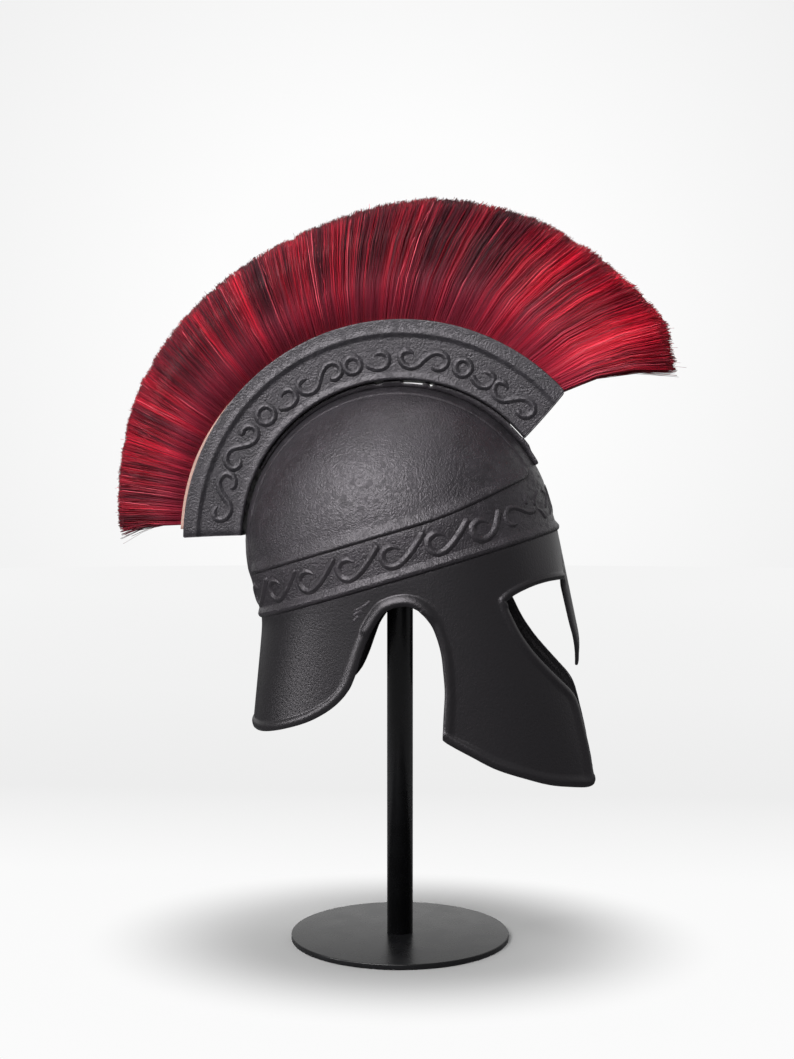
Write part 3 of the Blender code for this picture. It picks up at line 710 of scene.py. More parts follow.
brow_lofts = []
for side in (1.0, -1.0):
    for n in range(HOOK_COUNT):
        shape = HOOK[:8] + FRONT_TAIL if n == HOOK_COUNT - 1 else HOOK
        hook = arc_line(shape) * (-HOOK_SIZE, HOOK_SIZE) + (LAST_HOOK_AT - n * HOOK_PITCH, HOOK_LEVEL)
        hook = raised_line(*on_brow(hook, side), SCROLL_WIDTH, SCROLL_HEIGHT, THIN_START)
        brow_lofts.append((hook, False))
    small = (0.8 * SCROLL_WIDTH, 0.75 * SCROLL_HEIGHT, SMALL_THIN_START)
    for line in (WAVE, WAVE_SPUR) + (PALMETTE if side > 0 else PALMETTE[:-1]):
        brow_lofts.append((raised_line(*on_brow(arc_line(line), side), *small), False))
    for line in CREASES:
        brow_lofts.append((raised_line(*on_brow(arc_line(line), side), *CREASE), False))
# The same enamel on narrow raised lines: a little duller, with a shallower grain.
scroll_paint = charcoal_paint("charcoal_painted_scrolls", "#232124", "#2d2a2e", 0.39, 0.4)
add_piece("brow_scrolls", lean_back(*join_lofts(brow_lofts)), scroll_paint, "helmet_paint")

# ------------------------------------------------------------------------------
# Crest tab. A strip of the same painted steel, bent along the comb rib and riveted under the crest box, which
# it holds off the dome. Its rounded front end shows in front of the box.
TAB_ANGLES = (12.5, 136.0)
TAB_HALF_WIDTH = 14.0
TAB_THICKNESS = 2.7
TAB_GAP = 0.3
TAB_PACKING = 2.5  # how much thicker it may be under the box, to fill the room between box and rib
TAB_ROUND = 0.9  # degrees over which the front end is drawn in
TAB_EDGE = 0.8  # how far in the rounding of the top edges reaches sideways
# Slits between the strip and the box: angle of the middle, half length in degrees, thickness left.
TAB_SLITS = np.array([(26.6, 3.3, 3.4), (61.9, 0.8, 1.5), (68.4, 3.9, 1.7), (80.8, 1.3, 1.9)])
TAB_CORNER = 0.18  # of the strip's thickness
SLIT_EDGE = 0.8  # degrees over which a slit opens
UNDER_BOX = (17.0, 22.0)  # angles between which the strip passes under the box and thickens
CREST_CENTRE = (2.0, 22.0)  # in the helmet's mid-plane
CREST_IN = 133.8


def strip_surface():
    """A section swept up the mid-line of the dome: (share of the thickness, sideways) with rounded corners.

    The underside falls away sideways as the dome does, by sqrt(1 - (y / half width)^2), and the top is flat.
    Under the crest box the thickness is the room that is left there, up to the packing, and each slit is an S
    curve that brings it down to the thickness left. The front end is drawn in as a circle.
    """
    turn = np.linspace(0.0, math.pi / 2, 5)
    level, side = 1.0 - TAB_CORNER * (1.0 - np.sin(turn)), TAB_HALF_WIDTH - TAB_EDGE * (1.0 - np.cos(turn))
    top = np.stack([np.r_[level, level[::-1]], np.r_[side, -side[::-1]]], -1)
    flat = np.linspace(-TAB_HALF_WIDTH, TAB_HALF_WIDTH, 9)
    outline = np.vstack([top, np.stack([0.0 * flat, flat], -1)])
    angles = np.linspace(TAB_ANGLES[0] + TAB_ROUND, TAB_ANGLES[1], 260)
    angles = np.r_[TAB_ANGLES[0] + np.array([0.0, 0.12, 0.3, 0.6]), angles]
    heading = np.radians(angles)
    out = np.stack([np.cos(heading), 0.0 * heading, np.sin(heading)], -1)
    middle = out * (HALF_LENGTH, 1.0, DOME_HEIGHT)
    from_crest = middle + (-CREST_CENTRE[0], 0.0, DOME_FROM - CREST_CENTRE[1])
    room = CREST_IN - 2 * TAB_GAP - RIB_HEIGHT - np.linalg.norm(from_crest, axis=-1)
    under = smooth_step((angles - UNDER_BOX[0]) / (UNDER_BOX[1] - UNDER_BOX[0]))
    thick = np.clip(room, 0.5, TAB_THICKNESS + TAB_PACKING * under)
    centre, half, left = TAB_SLITS.T
    slit = smooth_step(0.5 + (half - np.abs(angles[:, None] - centre)) / SLIT_EDGE)
    thick = thick + (slit * (left - thick[:, None])).sum(-1)
    end = np.sqrt(1.0 - (1.0 - np.minimum((angles - TAB_ANGLES[0]) / TAB_ROUND, 1.0)) ** 2)
    share = 0.5 + (outline[:, 0] - 0.5) * (0.4 + 0.6 * end)[:, None]
    wide = outline[:, 1] * (0.94 + 0.06 * end)[:, None]
    fall = np.where(outline[:, 0] > 0.0, 1.0, np.sqrt(1.0 - (wide / HALF_WIDTH) ** 2))
    rise = RIB_HEIGHT + TAB_GAP + thick[:, None] * share
    rings = middle[:, None] * fall[..., None] + rise[..., None] * out[:, None]
    return rings + wide[..., None] * np.array([0.0, 1.0, 0.0]) + (0.0, 0.0, DOME_FROM)


strip_shape = lean_back(*join_lofts([(strip_surface()[:, ::-1], False)]))
add_piece("crest_strip", strip_shape, scroll_paint, "helmet_paint", "crest_tab")

# ------------------------------------------------------------------------------
# Crest box. A channel of painted steel bent over the crown: two side plates with a plain flange along the
# outside, a raised line under it, a stepped-back field and a raised, rounded border along the inside. A thin
# plate closes each end.
CREST_STEP = 170.4  # where the flange steps down to the field
CREST_OUT = 184.2
CREST_HALF_WIDTH = 20.0
FIELD_SINK = 1.5
FIELD = CREST_HALF_WIDTH - FIELD_SINK
CREST_FLOOR = 2.4
CREST_FRONT = (23.0, 25.5)  # angle of the cut end at the inside and at the outside
CREST_BACK = (161.9, 163.0)
CHANNEL_HALF_WIDTH = 16.8
FRONT_PLATE = 0.5  # degrees
BACK_PLATE = 2.2
END_ROUND = 0.9  # how far the outline is drawn in at the cut ends
END_ROUND_ANGLE = 0.35  # the degrees over which it is

# Side of the box from the outer edge to the inner one: points (outwards, sideways) from CREST_OUT and the
# half width, from CREST_STEP and the half width, and from CREST_IN and the field.
FLANGE_EDGE = ((0.0, -1.1), (-0.15, -0.75), (-0.6, -0.6), (-1.4, -0.6))
FIELD_STEP = (
    (7.2, -0.6), (6.2, -0.5), (4.4, -0.2), (3.2, -0.02), (2.5, 0.0), (1.9, -0.1), (1.1, -0.43), (0.3, -0.8),
    (-0.5, -1.17), (-1.2, -1.4), (-1.9, -FIELD_SINK), (-3.0, -FIELD_SINK), (-12.0, -FIELD_SINK),
)
INNER_BORDER = (
    (16.0, 0.0), (7.4, 0.0), (6.6, 0.06), (5.6, 0.25), (4.0, 0.6), (2.4, 0.9), (1.7, 0.92), (1.0, 0.7),
    (0.35, 0.2), (0.0, -0.5), (0.0, -1.2),
)


def on_crest(radius, angle, across):
    """A point of the crest by its distance and angle about the crest's centre, and how far sideways."""
    turn = np.radians(angle)
    x = CREST_CENTRE[0] + radius * np.cos(turn)
    z = CREST_CENTRE[1] + radius * np.sin(turn)
    return np.stack(np.broadcast_arrays(x, across, z), -1)


def crest_angle(share, radius, front_in=0.0, back_in=0.0):
    """Angle at a share of the way from the cut front end to the cut back end, both of which slant."""
    outward = (radius - CREST_IN) / (CREST_OUT - CREST_IN)
    front = between(CREST_FRONT, outward) + front_in
    back = between(CREST_BACK, outward) - back_in
    return between((front, back), share)


def crest_box_surface():
    """The side outline and its mirror image swept round the crest, with a plain pocket for the hair block.

    At each end the outline is drawn in over the last third of a degree, which rounds the cut edge.
    """
    right = np.vstack(
        [
            (CREST_OUT, CHANNEL_HALF_WIDTH),
            np.array(FLANGE_EDGE) + (CREST_OUT, CREST_HALF_WIDTH),
            np.array(FIELD_STEP) + (CREST_STEP, CREST_HALF_WIDTH),
            np.array(INNER_BORDER) + (CREST_IN, FIELD),
        ]
    )
    skin = np.vstack([right * (1, -1), right[::-1]])
    tight = skin.copy()
    tight[:, 0] = np.clip(tight[:, 0], CREST_IN + END_ROUND, CREST_OUT - END_ROUND)
    tight[:, 1] = np.where(np.abs(skin[:, 1]) > CHANNEL_HALF_WIDTH + 0.1, skin[:, 1] * 0.955, skin[:, 1])
    floor = CREST_IN + CREST_FLOOR
    pocket = np.array([(CREST_OUT, -1), (floor, -1), (floor, 1), (CREST_OUT, 1)]) * (1.0, CHANNEL_HALF_WIDTH)
    inside = np.linspace(0.0, 1.0, 180)[:, None]
    first, last = np.zeros((1, 1)), np.ones((1, 1))

    def swept(outline, *where):
        """An outline carried to shares of the way between the box's two ends."""
        return on_crest(outline[:, 0], crest_angle(where[0], outline[:, 0], *where[1:]), outline[:, 1])

    rings = [swept(tight, first), swept(skin, first, END_ROUND_ANGLE)]
    rings += [swept(skin, inside, FRONT_PLATE, BACK_PLATE)]
    rings += [swept(skin, last, 0.0, END_ROUND_ANGLE), swept(tight, last)]
    rings, hollow = np.concatenate(rings), swept(pocket, inside, FRONT_PLATE, BACK_PLATE)
    count, around = rings.shape[:2]
    start, end = count * around, count * around + 4 * (len(hollow) - 1)
    quads = [grid_faces(count, around), grid_faces(len(hollow), 4, start)[:, ::-1]]
    # Over each end plate the skin closes from side to side, and the pocket has its own two end faces.
    near = np.array([0, 1, count - 3, count - 2]) * around
    quads.append(near[:, None] + [0, around - 1, 2 * around - 1, around])
    quads.append([[start, start + 1, start + 2, start + 3], [end + 3, end + 2, end + 1, end]])
    ring = np.arange(around)
    caps = np.array([ring[::-1], (count - 1) * around + ring])
    points = np.concatenate([rings.reshape(-1, 3), hollow.reshape(-1, 3)])
    quads = np.concatenate(quads)
    # The pocket's mouth lies on the skin's two end points, so the doubled points are made one.
    keep, same = doubles(points)
    return points[keep], [same[quads], same[caps]]


# The same enamel, a shade darker and with a shallower grain.
crest_paint = charcoal_paint("charcoal_painted_crest", "#212023", "#2a282c", 0.365, 0.4)
add_piece("painted_crest_box", lean_back(*crest_box_surface()), crest_paint, "crest_paint", "crest_box")

# ------------------------------------------------------------------------------
# Crest scrolls. S scrolls, rings and commas raised on both side plates of the crest box, pressed with the
# plate and painted with it.
CREST_LINE_WIDTH = 6.0
CREST_LINE_HEIGHT = 1.5
CREST_THIN_START = 7.0
RING_RADII = (7.3, 6.5, 6.5)  # from back to front

# One S scroll and one comma: forwards round the crest and outwards from their centre.
S_SCROLL = (
    (-8.6, 2.6), (-11.2, 4.6), (-15.4, 5.4), (-19.2, 2.8), (-19.6, -1.8), (-16.4, -6.2), (-10.8, -8.0),
    (-5.2, -6.0), (-0.6, -1.2), (4.0, 3.6), (9.2, 6.6), (14.6, 6.4), (18.6, 3.2), (19.0, -1.6),
    (16.2, -5.2), (11.4, -6.4), (7.4, -4.2),
)
COMMA = (
    (-2.6, 2.4), (-1.6, 4.6), (2.2, 5.8), (6.4, 4.0), (8.2, -0.2), (6.2, -5.2), (1.0, -7.4), (-5.0, -6.2),
    (-11.0, -2.2),
)
# The row of scrolls from back to front: shape, angle, distance from the crest's centre.
CREST_ROW = (
    ("s", 149.7, 154.0),
    ("mirrored s", 133.1, 155.2),
    ("ring", 120.6, 154.3),
    ("comma", 112.2, 152.4),
    ("s", 99.8, 152.0),
    ("ring", 88.7, 151.2),
    ("comma", 80.3, 151.4),
    ("s", 65.8, 152.2),
    ("ring", 53.3, 152.6),
    ("comma", 46.0, 151.9),
    ("s", 34.4, 151.0),
)


def crest_row(side):
    """Every scroll of one side plate: a flat line bent round the crest, then raised off the plate."""
    lofts = []
    turn = np.linspace(0.0, 2 * math.pi, 48, endpoint=False)
    shapes = {"s": arc_line(S_SCROLL), "comma": arc_line(COMMA)}
    shapes["mirrored s"] = shapes["s"] * (1.0, -1.0)
    radii = iter(RING_RADII)
    for shape, angle, distance in CREST_ROW:
        closed = shape == "ring"
        flat = next(radii) * np.stack([np.cos(turn), np.sin(turn)], -1) if closed else shapes[shape]
        bent = angle - np.degrees(flat[:, 0] / distance)
        path = on_crest(distance + flat[:, 1], bent, side * FIELD)
        facing = np.broadcast_to([0.0, side, 0.0], path.shape)
        thin = 0.0 if closed else CREST_THIN_START
        lofts.append((raised_line(path, facing, CREST_LINE_WIDTH, CREST_LINE_HEIGHT, thin, closed), closed))
    return lofts


crest_scroll_shape = lean_back(*join_lofts(crest_row(-1.0) + crest_row(1.0)))
add_piece("crest_scrolls", crest_scroll_shape, crest_paint, "crest_paint")

# ------------------------------------------------------------------------------
# Hair block. A bent lath of plain tan wood that fills the channel. The hair is set in its top face, and a
# thin edge of it shows along the back of the crest.
BLOCK_OUT = (184.1, 187.2)  # level with the flange at the front, proud of it at the back
BLOCK_CLIMB = (112.0, 148.0)  # angles between which it climbs
GAP = 0.3  # between pieces that touch
PLATE_GAP = 0.15  # degrees between its ends and the end plates


def block_out(angle):
    """Distance of the block's top from the crest's centre: an S curve between the front and the back."""
    return between(BLOCK_OUT, smooth_step((angle - BLOCK_CLIMB[0]) / (BLOCK_CLIMB[1] - BLOCK_CLIMB[0])))


def lath_surface():
    """A rectangle with its two upper edges rounded by 0.8 mm, carried round the crest's channel."""
    low, wide = CREST_IN + CREST_FLOOR + GAP, CHANNEL_HALF_WIDTH - GAP
    sink = np.array([0.0, 0.8, 0.25, 0.0, 0.0, 0.25, 0.8, 0.0])
    across = np.array([wide, wide, wide - 0.25, wide - 0.8, 0.8 - wide, 0.25 - wide, -wide, -wide])
    level = np.array([0.0, 1.0, 1.0, 1.0, 1.0, 1.0, 1.0, 0.0])
    share = np.linspace(0.0, 1.0, 160)[:, None]
    insets = (FRONT_PLATE + PLATE_GAP, BACK_PLATE + PLATE_GAP)
    radius = low + (block_out(crest_angle(share, CREST_OUT, *insets)) - low) * level - sink
    return on_crest(radius, crest_angle(share, radius, *insets), across)


# Bent beech lath, sealed: a warm tan with fine darker grain lines, 2.4 mm apart so that they show.
tan_wood, tan_shader = new_material("tan_beech_lath")
wood_place = add_node(tan_wood, "ShaderNodeTexCoord").outputs["Object"]
wood_grain = {"Vector": wood_place, "Scale": 420.0, "Detail": 4.0, "Roughness": 0.65}
wood_grain = add_node(tan_wood, "ShaderNodeTexNoise", wood_grain)
wood_shade = add_node(tan_wood, "ShaderNodeValToRGB", {"Fac": wood_grain})
set_ramp(wood_shade, [(0.3, "#94746a"), (0.7, "#b29084")])
feed(tan_shader, {"Base Color": wood_shade, "Roughness": 0.6})
lath_shape = lean_back(*join_lofts([(lath_surface()[:, ::-1], False)]))
add_piece("tan_hair_block", lath_shape, tan_wood, "hair_block", "hair_block")

# ------------------------------------------------------------------------------
# Plume. Stiff bristle dyed crimson, set upright in the block in tufts and clipped to an arc. Dark maroon
# tufts are mixed in, the tips are brightest, and single bristles stray from the rest.
HAIRS = 36000
STRAYS = 700
PALE_SHARE = 0.018  # of the bristles are pale pink
PALE_TONE = 0.97
TONES = (0.1, 0.88)  # darkest and brightest of the rest
HAIR_THICKNESS = (0.8, 0.44)  # at the root and at the tip
ROOT_ARC = (26.0, 159.6)  # angles of the first and the last bristle's root
TIP_ARC = (15.4, 161.0)
FAN = (14.6, 21.8)  # half width of the brush at the roots and at the tips
SET_IN = 0.6  # how deep the bristles are set in the block
PLUME_PIECES = ("front", "fore_crown", "rear_crown", "back")

# Clipped tips: angle about the crest's centre, distance from it.
PLUME_TIPS = (
    (15.4, 268.0), (22.0, 284.0), (36.0, 286.5), (50.0, 289.5), (66.0, 287.5), (78.0, 279.5),
    (92.0, 270.0), (106.0, 266.0), (120.0, 262.5), (135.0, 257.0), (147.0, 248.5), (154.0, 245.0),
    (161.0, 241.0),
)


def drift(u, v, seed):
    """Smooth random values from -1 to 1: random heights on a grid, blended with an S curve both ways."""
    heights = np.random.default_rng(seed).uniform(-1.0, 1.0, (97, 97))
    i, j = np.floor(u).astype(int), np.floor(v).astype(int)
    s, t = smooth_step(u - i), smooth_step(v - j)
    i, j, k, m = i % 97, j % 97, (i + 1) % 97, (j + 1) % 97
    near = heights[i, j] * (1 - s) + heights[k, j] * s
    far = heights[i, m] * (1 - s) + heights[k, m] * s
    return near * (1 - t) + far * t


def hair_strands(share, sideways, stray, seed):
    """Tapered three-sided bristles, four rings each, from the block to the clipped arc.

    A bristle's angle runs from root to tip as level^1.2, its distance grows evenly, and it fans out sideways
    as sqrt(level). Tufts lean together: they shift by a smooth random amount that grows as level^1.3. The
    first and the last bristles droop away from the rest, as level^2.5. With the points go the rings' levels.
    """
    rng = np.random.default_rng(seed)
    count = len(share)
    level = np.array([0.0, 0.36, 0.7, 1.0])[None]
    root, tip = between(ROOT_ARC, share), between(TIP_ARC, share)
    clip = np.interp(tip, *np.array(PLUME_TIPS).T)
    cut = 1.0 - 0.06 * (np.maximum(np.abs(sideways) - 0.5, 0.0) / 0.5) ** 2
    cut = cut - np.abs(rng.normal(0.0, 0.018, count)) + 0.02 * drift(share * 280.0, sideways * 3.0, 5)
    cut = cut + 0.012 * stray
    start = block_out(root) - SET_IN
    reach = between((start, clip), cut)
    tuft = drift(share * 130.0, sideways * 4.0, 11) * 0.3 + drift(share * 45.0, sideways * 2.0, 12) * 0.5
    loose = rng.normal(0.0, 0.34, count) + stray * rng.normal(0.0, 2.2, count)
    to_end = np.minimum(share, 1.0 - share)
    edge = np.minimum(1.0, to_end / 0.015)
    back_end = np.maximum(0.0, 1.0 - (1.0 - share) / 0.03)
    front_end = np.maximum(0.0, 1.0 - share / 0.02)
    droop = np.abs(rng.normal(0.0, 1.0, count)) ** 1.5 * (0.7 * back_end - 0.45 * front_end)
    bend = rng.normal(0.0, 0.1, count)[:, None] * level * (1.0 - level)
    angle = between((root[:, None], tip[:, None]), (level * cut[:, None]) ** 1.2)
    angle = angle + ((tuft + loose) * edge)[:, None] * level**1.3 + droop[:, None] * level**2.5 + bend
    radius = between((start[:, None], reach[:, None]), level)
    ends = np.minimum(1.0, np.sqrt(to_end / 0.03 + 0.25))
    fan = between(FAN, np.sqrt(level) * ends[:, None])
    across = sideways[:, None] * fan + (0.2 * tuft + 1.3 * rng.normal(0.0, 1.0, count))[:, None] * level**2
    middle = on_crest(radius, angle, across)
    turn = rng.uniform(0.0, 2 * math.pi, count)[:, None] + np.array([0.0, 2.0944, 4.1888])
    thick = between(HAIR_THICKNESS, level) / 2 * (1.0 - 0.3 * stray[:, None])
    heading = np.radians(angle)
    around = np.stack([-np.sin(heading), 0.0 * heading, np.cos(heading)], -1)
    spoke = np.cos(turn)[:, None, :, None] * around[:, :, None]
    spoke = spoke + np.sin(turn)[:, None, :, None] * np.array([0.0, 1.0, 0.0])
    return middle[:, :, None] + thick[..., None, None] * spoke, level[0]


def hair_faces(count, rings):
    """Sides and both ends of every bristle, whose points are stored ring by ring."""
    first = np.arange(count)[:, None, None] * rings * 3
    i, k = np.arange(rings - 1)[None, :, None] * 3, np.arange(3)[None, None]
    nextk = (k + 1) % 3
    a = first + i
    sides = np.stack(np.broadcast_arrays(a + nextk, a + k, a + 3 + k, a + 3 + nextk), -1)
    start = np.arange(count)[:, None] * rings * 3
    ends = np.concatenate([start + np.array([0, 1, 2]), start + (rings - 1) * 3 + np.array([2, 1, 0])])
    return sides.reshape(-1, 4), ends


def hair_map(count, level, tone):
    """Map places of every face corner: tone across, and how far along the bristle upwards.

    A face is 0.012 wide on the map, so that one tone fills it, and each end is a small triangle there.
    """
    half = 0.006
    u = (0.02 + 0.96 * tone)[:, None, None, None]
    low, high = level[:-1][None, :, None], level[1:][None, :, None]
    v = np.stack(np.broadcast_arrays(low, low, high, high), -1) + 0.0 * u
    v = np.broadcast_to(v, (count, len(level) - 1, 3, 4))
    sides = np.stack([u + np.array([-half, half, half, -half]) + 0.0 * v, 0.01 + 0.98 * v], -1)
    corners = np.array([(-half, 0.0), (half, 0.0), (0.0, half)])
    flat = (0.02 + 0.96 * tone)[:, None, None] * (1.0, 0.0)
    ends = np.concatenate([flat + (0.0, 0.012) + corners, flat + (0.0, 0.985) + corners])
    return np.concatenate([sides.reshape(-1, 2), ends.reshape(-1, 2)])


# Crimson dyed bristle: waxy, so each hair has a thin line of sheen. Tone picks the dye from maroon to bright
# red. The dye shows fully from 0.6 of the way up. Towards the roots it blends into one dusty crimson, lighter
# than most of the dye: painted light against the shade deep among the bristles. The clipped ends are dark.
bristle, bristle_shader = new_material("crimson_dyed_bristle")
bristle_place = add_node(bristle, "ShaderNodeUVMap", uv_map="OFBake")
bristle_place = add_node(bristle, "ShaderNodeSeparateXYZ", {"Vector": bristle_place}).outputs
dye = add_node(bristle, "ShaderNodeValToRGB", {"Fac": bristle_place["X"]})
dye_tones = [(0.0, "#240a13"), (0.2, "#460f1e"), (0.4, "#7c1226"), (0.6, "#b4132c"), (0.8, "#ec1a3a")]
set_ramp(dye, dye_tones + [(0.93, "#ff4058"), (1.0, "#e08c98")])
dye_over_root_light = {"Value": bristle_place["Y"], "From Min": 0.0, "From Max": 0.6, "To Min": 0.3, "To Max": 1.0}
dye_over_root_light = add_node(bristle, "ShaderNodeMapRange", dye_over_root_light)
# The root colour #a8344a is painted light, lighter than most of the dye, against the shade among the
# bristles.
dye_and_root_light = {"Factor": dye_over_root_light, "A": colour("#a8344a"), "B": dye}
dye_and_root_light = add_node(bristle, "ShaderNodeMix", dye_and_root_light, data_type="RGBA")
clipped = add_node(bristle, "ShaderNodeValToRGB", {"Fac": bristle_place["Y"]})
set_ramp(clipped, [(0.0, "#ffffff"), (0.965, "#ffffff"), (1.0, "#5a4248")])
shown = {"Factor": 1.0, "A": dye_and_root_light, "B": clipped}
shown = add_node(bristle, "ShaderNodeMix", shown, data_type="RGBA", blend_type="MULTIPLY")
feed(bristle_shader, {"Base Color": shown, "Roughness": 0.5, "Specular IOR Level": 0.35})

# Where along the crest the hair is brighter or darker: by how much, share of the way back, reach. The first,
# which brightens the front of the brush, is painted light.
BRIGHTNESS_SWELLS = (
    (0.36, 0.0, 0.2), (-0.3, 0.0, 0.03), (0.18, 0.9, 0.14),
    (0.12, 0.72, 0.04), (-0.14, 0.59, 0.04), (-0.09, 0.34, 0.13),
)
picker = np.random.default_rng(4)
hair_share = np.sort((np.arange(HAIRS) + picker.uniform(0.0, 1.0, HAIRS)) / HAIRS)
hair_side = picker.uniform(-1.0, 1.0, HAIRS)
hair_side = np.sign(hair_side) * np.abs(hair_side) ** 0.8
is_stray = np.zeros(HAIRS)
is_stray[picker.choice(HAIRS, STRAYS, replace=False)] = 1.0
# Tone of each bristle: random tufts and single hairs, plus the painted light of the brighter front.
hair_tone_and_light = 0.34 + 0.24 * drift(hair_share * 34.0, hair_side * 0.7, 22)
hair_tone_and_light = hair_tone_and_light + 0.14 * drift(hair_share * 150.0, hair_side * 3.0, 21)
hair_tone_and_light = hair_tone_and_light + picker.normal(0.0, 0.12, HAIRS)
for more, middle, reach in BRIGHTNESS_SWELLS:
    hair_tone_and_light = hair_tone_and_light + more * np.exp(-(((hair_share - middle) / reach) ** 2))
hair_tone_and_light = np.clip(hair_tone_and_light, *TONES)
pale = picker.uniform(0.0, 1.0, HAIRS) < PALE_SHARE
pale = pale | ((is_stray > 0) & (picker.uniform(0.0, 1.0, HAIRS) > 0.7))
hair_tone_and_light = np.where(pale, PALE_TONE, hair_tone_and_light)
for n, part in enumerate(PLUME_PIECES):
    mine = slice(n * HAIRS // 4, (n + 1) * HAIRS // 4)
    strands, levels = hair_strands(hair_share[mine], hair_side[mine], is_stray[mine], 40 + n)
    hair_shape = lean_back(strands.reshape(-1, 3), hair_faces(len(strands), len(levels)))
    hair = add_piece("plume_hair_" + part, hair_shape, bristle, "plume_hair", "plume")
    places = hair_map(len(strands), levels, hair_tone_and_light[mine]).astype(np.float32)
    hair.data.uv_layers.new(name="OFBake").data.foreach_set("uv", places.ravel())

# ------------------------------------------------------------------------------
# Stand. A round steel post welded to a thin steel disc, both powder coated satin black.
POST_RADIUS = 11.0
POST_TOP = 463.3
POST_EDGE = 1.2  # rounding of its edge
DISC_RADIUS = 92.5
DISC_HEIGHT = 4.6
DISC_EDGE = 0.7


def turned(outline, sides):
    """A closed body turned about the upright axis from an outline of (radius, height)."""
    turn = np.linspace(0.0, 2 * math.pi, sides, endpoint=False)
    radius, height = np.array(outline).T[..., None]
    rings = np.stack(np.broadcast_arrays(radius * np.cos(turn), radius * np.sin(turn), height), -1)
    return join_lofts([(rings, False)])


def edge_round(radius, height, size, upwards):
    """Outline points of a quarter-circle edge between a side and a flat end."""
    turn = np.linspace(0.0, math.pi / 2, 5)
    r, z = radius - size + size * np.cos(turn), size * np.sin(turn) - size
    points = np.stack([r, height + z if upwards else height - z], -1)
    return points.tolist() if upwards else points[::-1].tolist()


# Powder coat: satin black with a fine orange peel, drawn 1.4 mm across so that it shows, and a slow drift in
# gloss and shade over some 20 mm.
coat, coat_shader = new_material("satin_black_powder_coat")
coat_place = add_node(coat, "ShaderNodeTexCoord").outputs["Object"]
coat_peel = add_node(coat, "ShaderNodeTexNoise", {"Vector": coat_place, "Scale": 700.0, "Detail": 1.0})
coat_cloud = add_node(coat, "ShaderNodeTexNoise", {"Vector": coat_place, "Scale": 45.0, "Detail": 3.0})
coat_gloss = {"Value": coat_cloud, "From Min": 0.3, "From Max": 0.7, "To Min": 0.24, "To Max": 0.3}
coat_gloss = add_node(coat, "ShaderNodeMapRange", coat_gloss)
coat_shade = add_node(coat, "ShaderNodeValToRGB", {"Fac": coat_cloud})
set_ramp(coat_shade, [(0.3, "#0e0e0f"), (0.7, "#131315")])
coat_bump = add_node(coat, "ShaderNodeBump", {"Height": coat_peel, "Strength": 0.12, "Distance": 0.0002})
feed(coat_shader, {"Base Color": coat_shade, "Roughness": coat_gloss, "Normal": coat_bump})

post_outline = [(POST_RADIUS, DISC_HEIGHT + GAP)] + edge_round(POST_RADIUS, POST_TOP, POST_EDGE, True)
add_piece("black_post", turned(post_outline, 96), coat, "stand_coat", "stand_post")
disc_outline = edge_round(DISC_RADIUS, 0.0, DISC_EDGE, False)
disc_outline = disc_outline + edge_round(DISC_RADIUS, DISC_HEIGHT, DISC_EDGE, True)
add_piece("black_disc", turned(disc_outline, 240), coat, "stand_coat", "stand_disc")

# ------------------------------------------------------------------------------
# Floor, lights and camera. A white studio floor that runs out into the white surround, one large soft light
# above on the camera's left, a softbox overhead, three weak ones at the sides, and a narrow one on the hair.
FLOOR_RADIUS = 6.0
LENS = 34.99  # focal length in millimetres, on a frame 24 mm high
CAMERA_AT = (0.114, -1.303, 0.387)
CAMERA_AHEAD = (-0.08905, 0.99557, -0.03002)

floor_turn = np.linspace(0.0, 2 * math.pi, 96, endpoint=False)
floor_points = FLOOR_RADIUS * np.stack([np.cos(floor_turn), np.sin(floor_turn), 0.0 * floor_turn], -1)
floor_mesh = bpy.data.meshes.new("studio_floor")
floor_mesh.from_pydata(floor_points.tolist(), [], [list(range(96))])
floor = bpy.data.objects.new("studio_floor", floor_mesh)
bpy.context.scene.collection.objects.link(floor)

# White painted floor. Near the stand it is a grey floor that takes the soft shadow of the lights, and from
# 115 to 275 mm out, over an oval, it passes into a glow of its own that meets the surround. The grey and its
# soft oval edge are painted shadow round the stand. The glow is painted light, dimmest some 0.6 m behind the
# stand. To all light but the camera's it is a dark grey floor, so it gives back less light than it shows.
floor_paint, floor_shader = new_material("white_studio_floor")
feed(floor_shader, {"Base Color": colour("#b0b0b0"), "Roughness": 0.9, "Specular IOR Level": 0.0})
floor_mesh.materials.append(floor_paint)
floor_where = add_node(floor_paint, "ShaderNodeTexCoord").outputs["Object"]
# Mask of the painted shadow: distance over an oval, shorter front to back by 1.24, from grey floor to glow.
floor_shadow_oval = {0: floor_where, 1: (1.0, 1.24, 1.0)}
floor_shadow_oval = add_node(floor_paint, "ShaderNodeVectorMath", floor_shadow_oval, operation="MULTIPLY")
floor_shadow_oval = add_node(floor_paint, "ShaderNodeVectorMath", {0: floor_shadow_oval}, operation="LENGTH")
floor_painted_shadow_fade = {"Value": floor_shadow_oval, "From Min": 0.115, "From Max": 0.275}
floor_painted_shadow_fade = add_node(floor_paint, "ShaderNodeMapRange", floor_painted_shadow_fade, interpolation_type="SMOOTHSTEP")
floor_depth = add_node(floor_paint, "ShaderNodeSeparateXYZ", {"Vector": floor_where}).outputs["Y"]
floor_depth = {"Value": floor_depth, "From Min": -1.0, "From Max": 5.0}
floor_depth = add_node(floor_paint, "ShaderNodeMapRange", floor_depth)
floor_shade = add_node(floor_paint, "ShaderNodeValToRGB", {"Fac": floor_depth})
floor_tones = [(0.0, "#fcfcfc"), (0.2, "#fafafa"), (0.27, "#ededed"), (0.42, "#f1f1f1"), (0.83, "#f4f4f4")]
set_ramp(floor_shade, floor_tones)
floor_glow = add_node(floor_paint, "ShaderNodeEmission", {"Color": floor_shade})
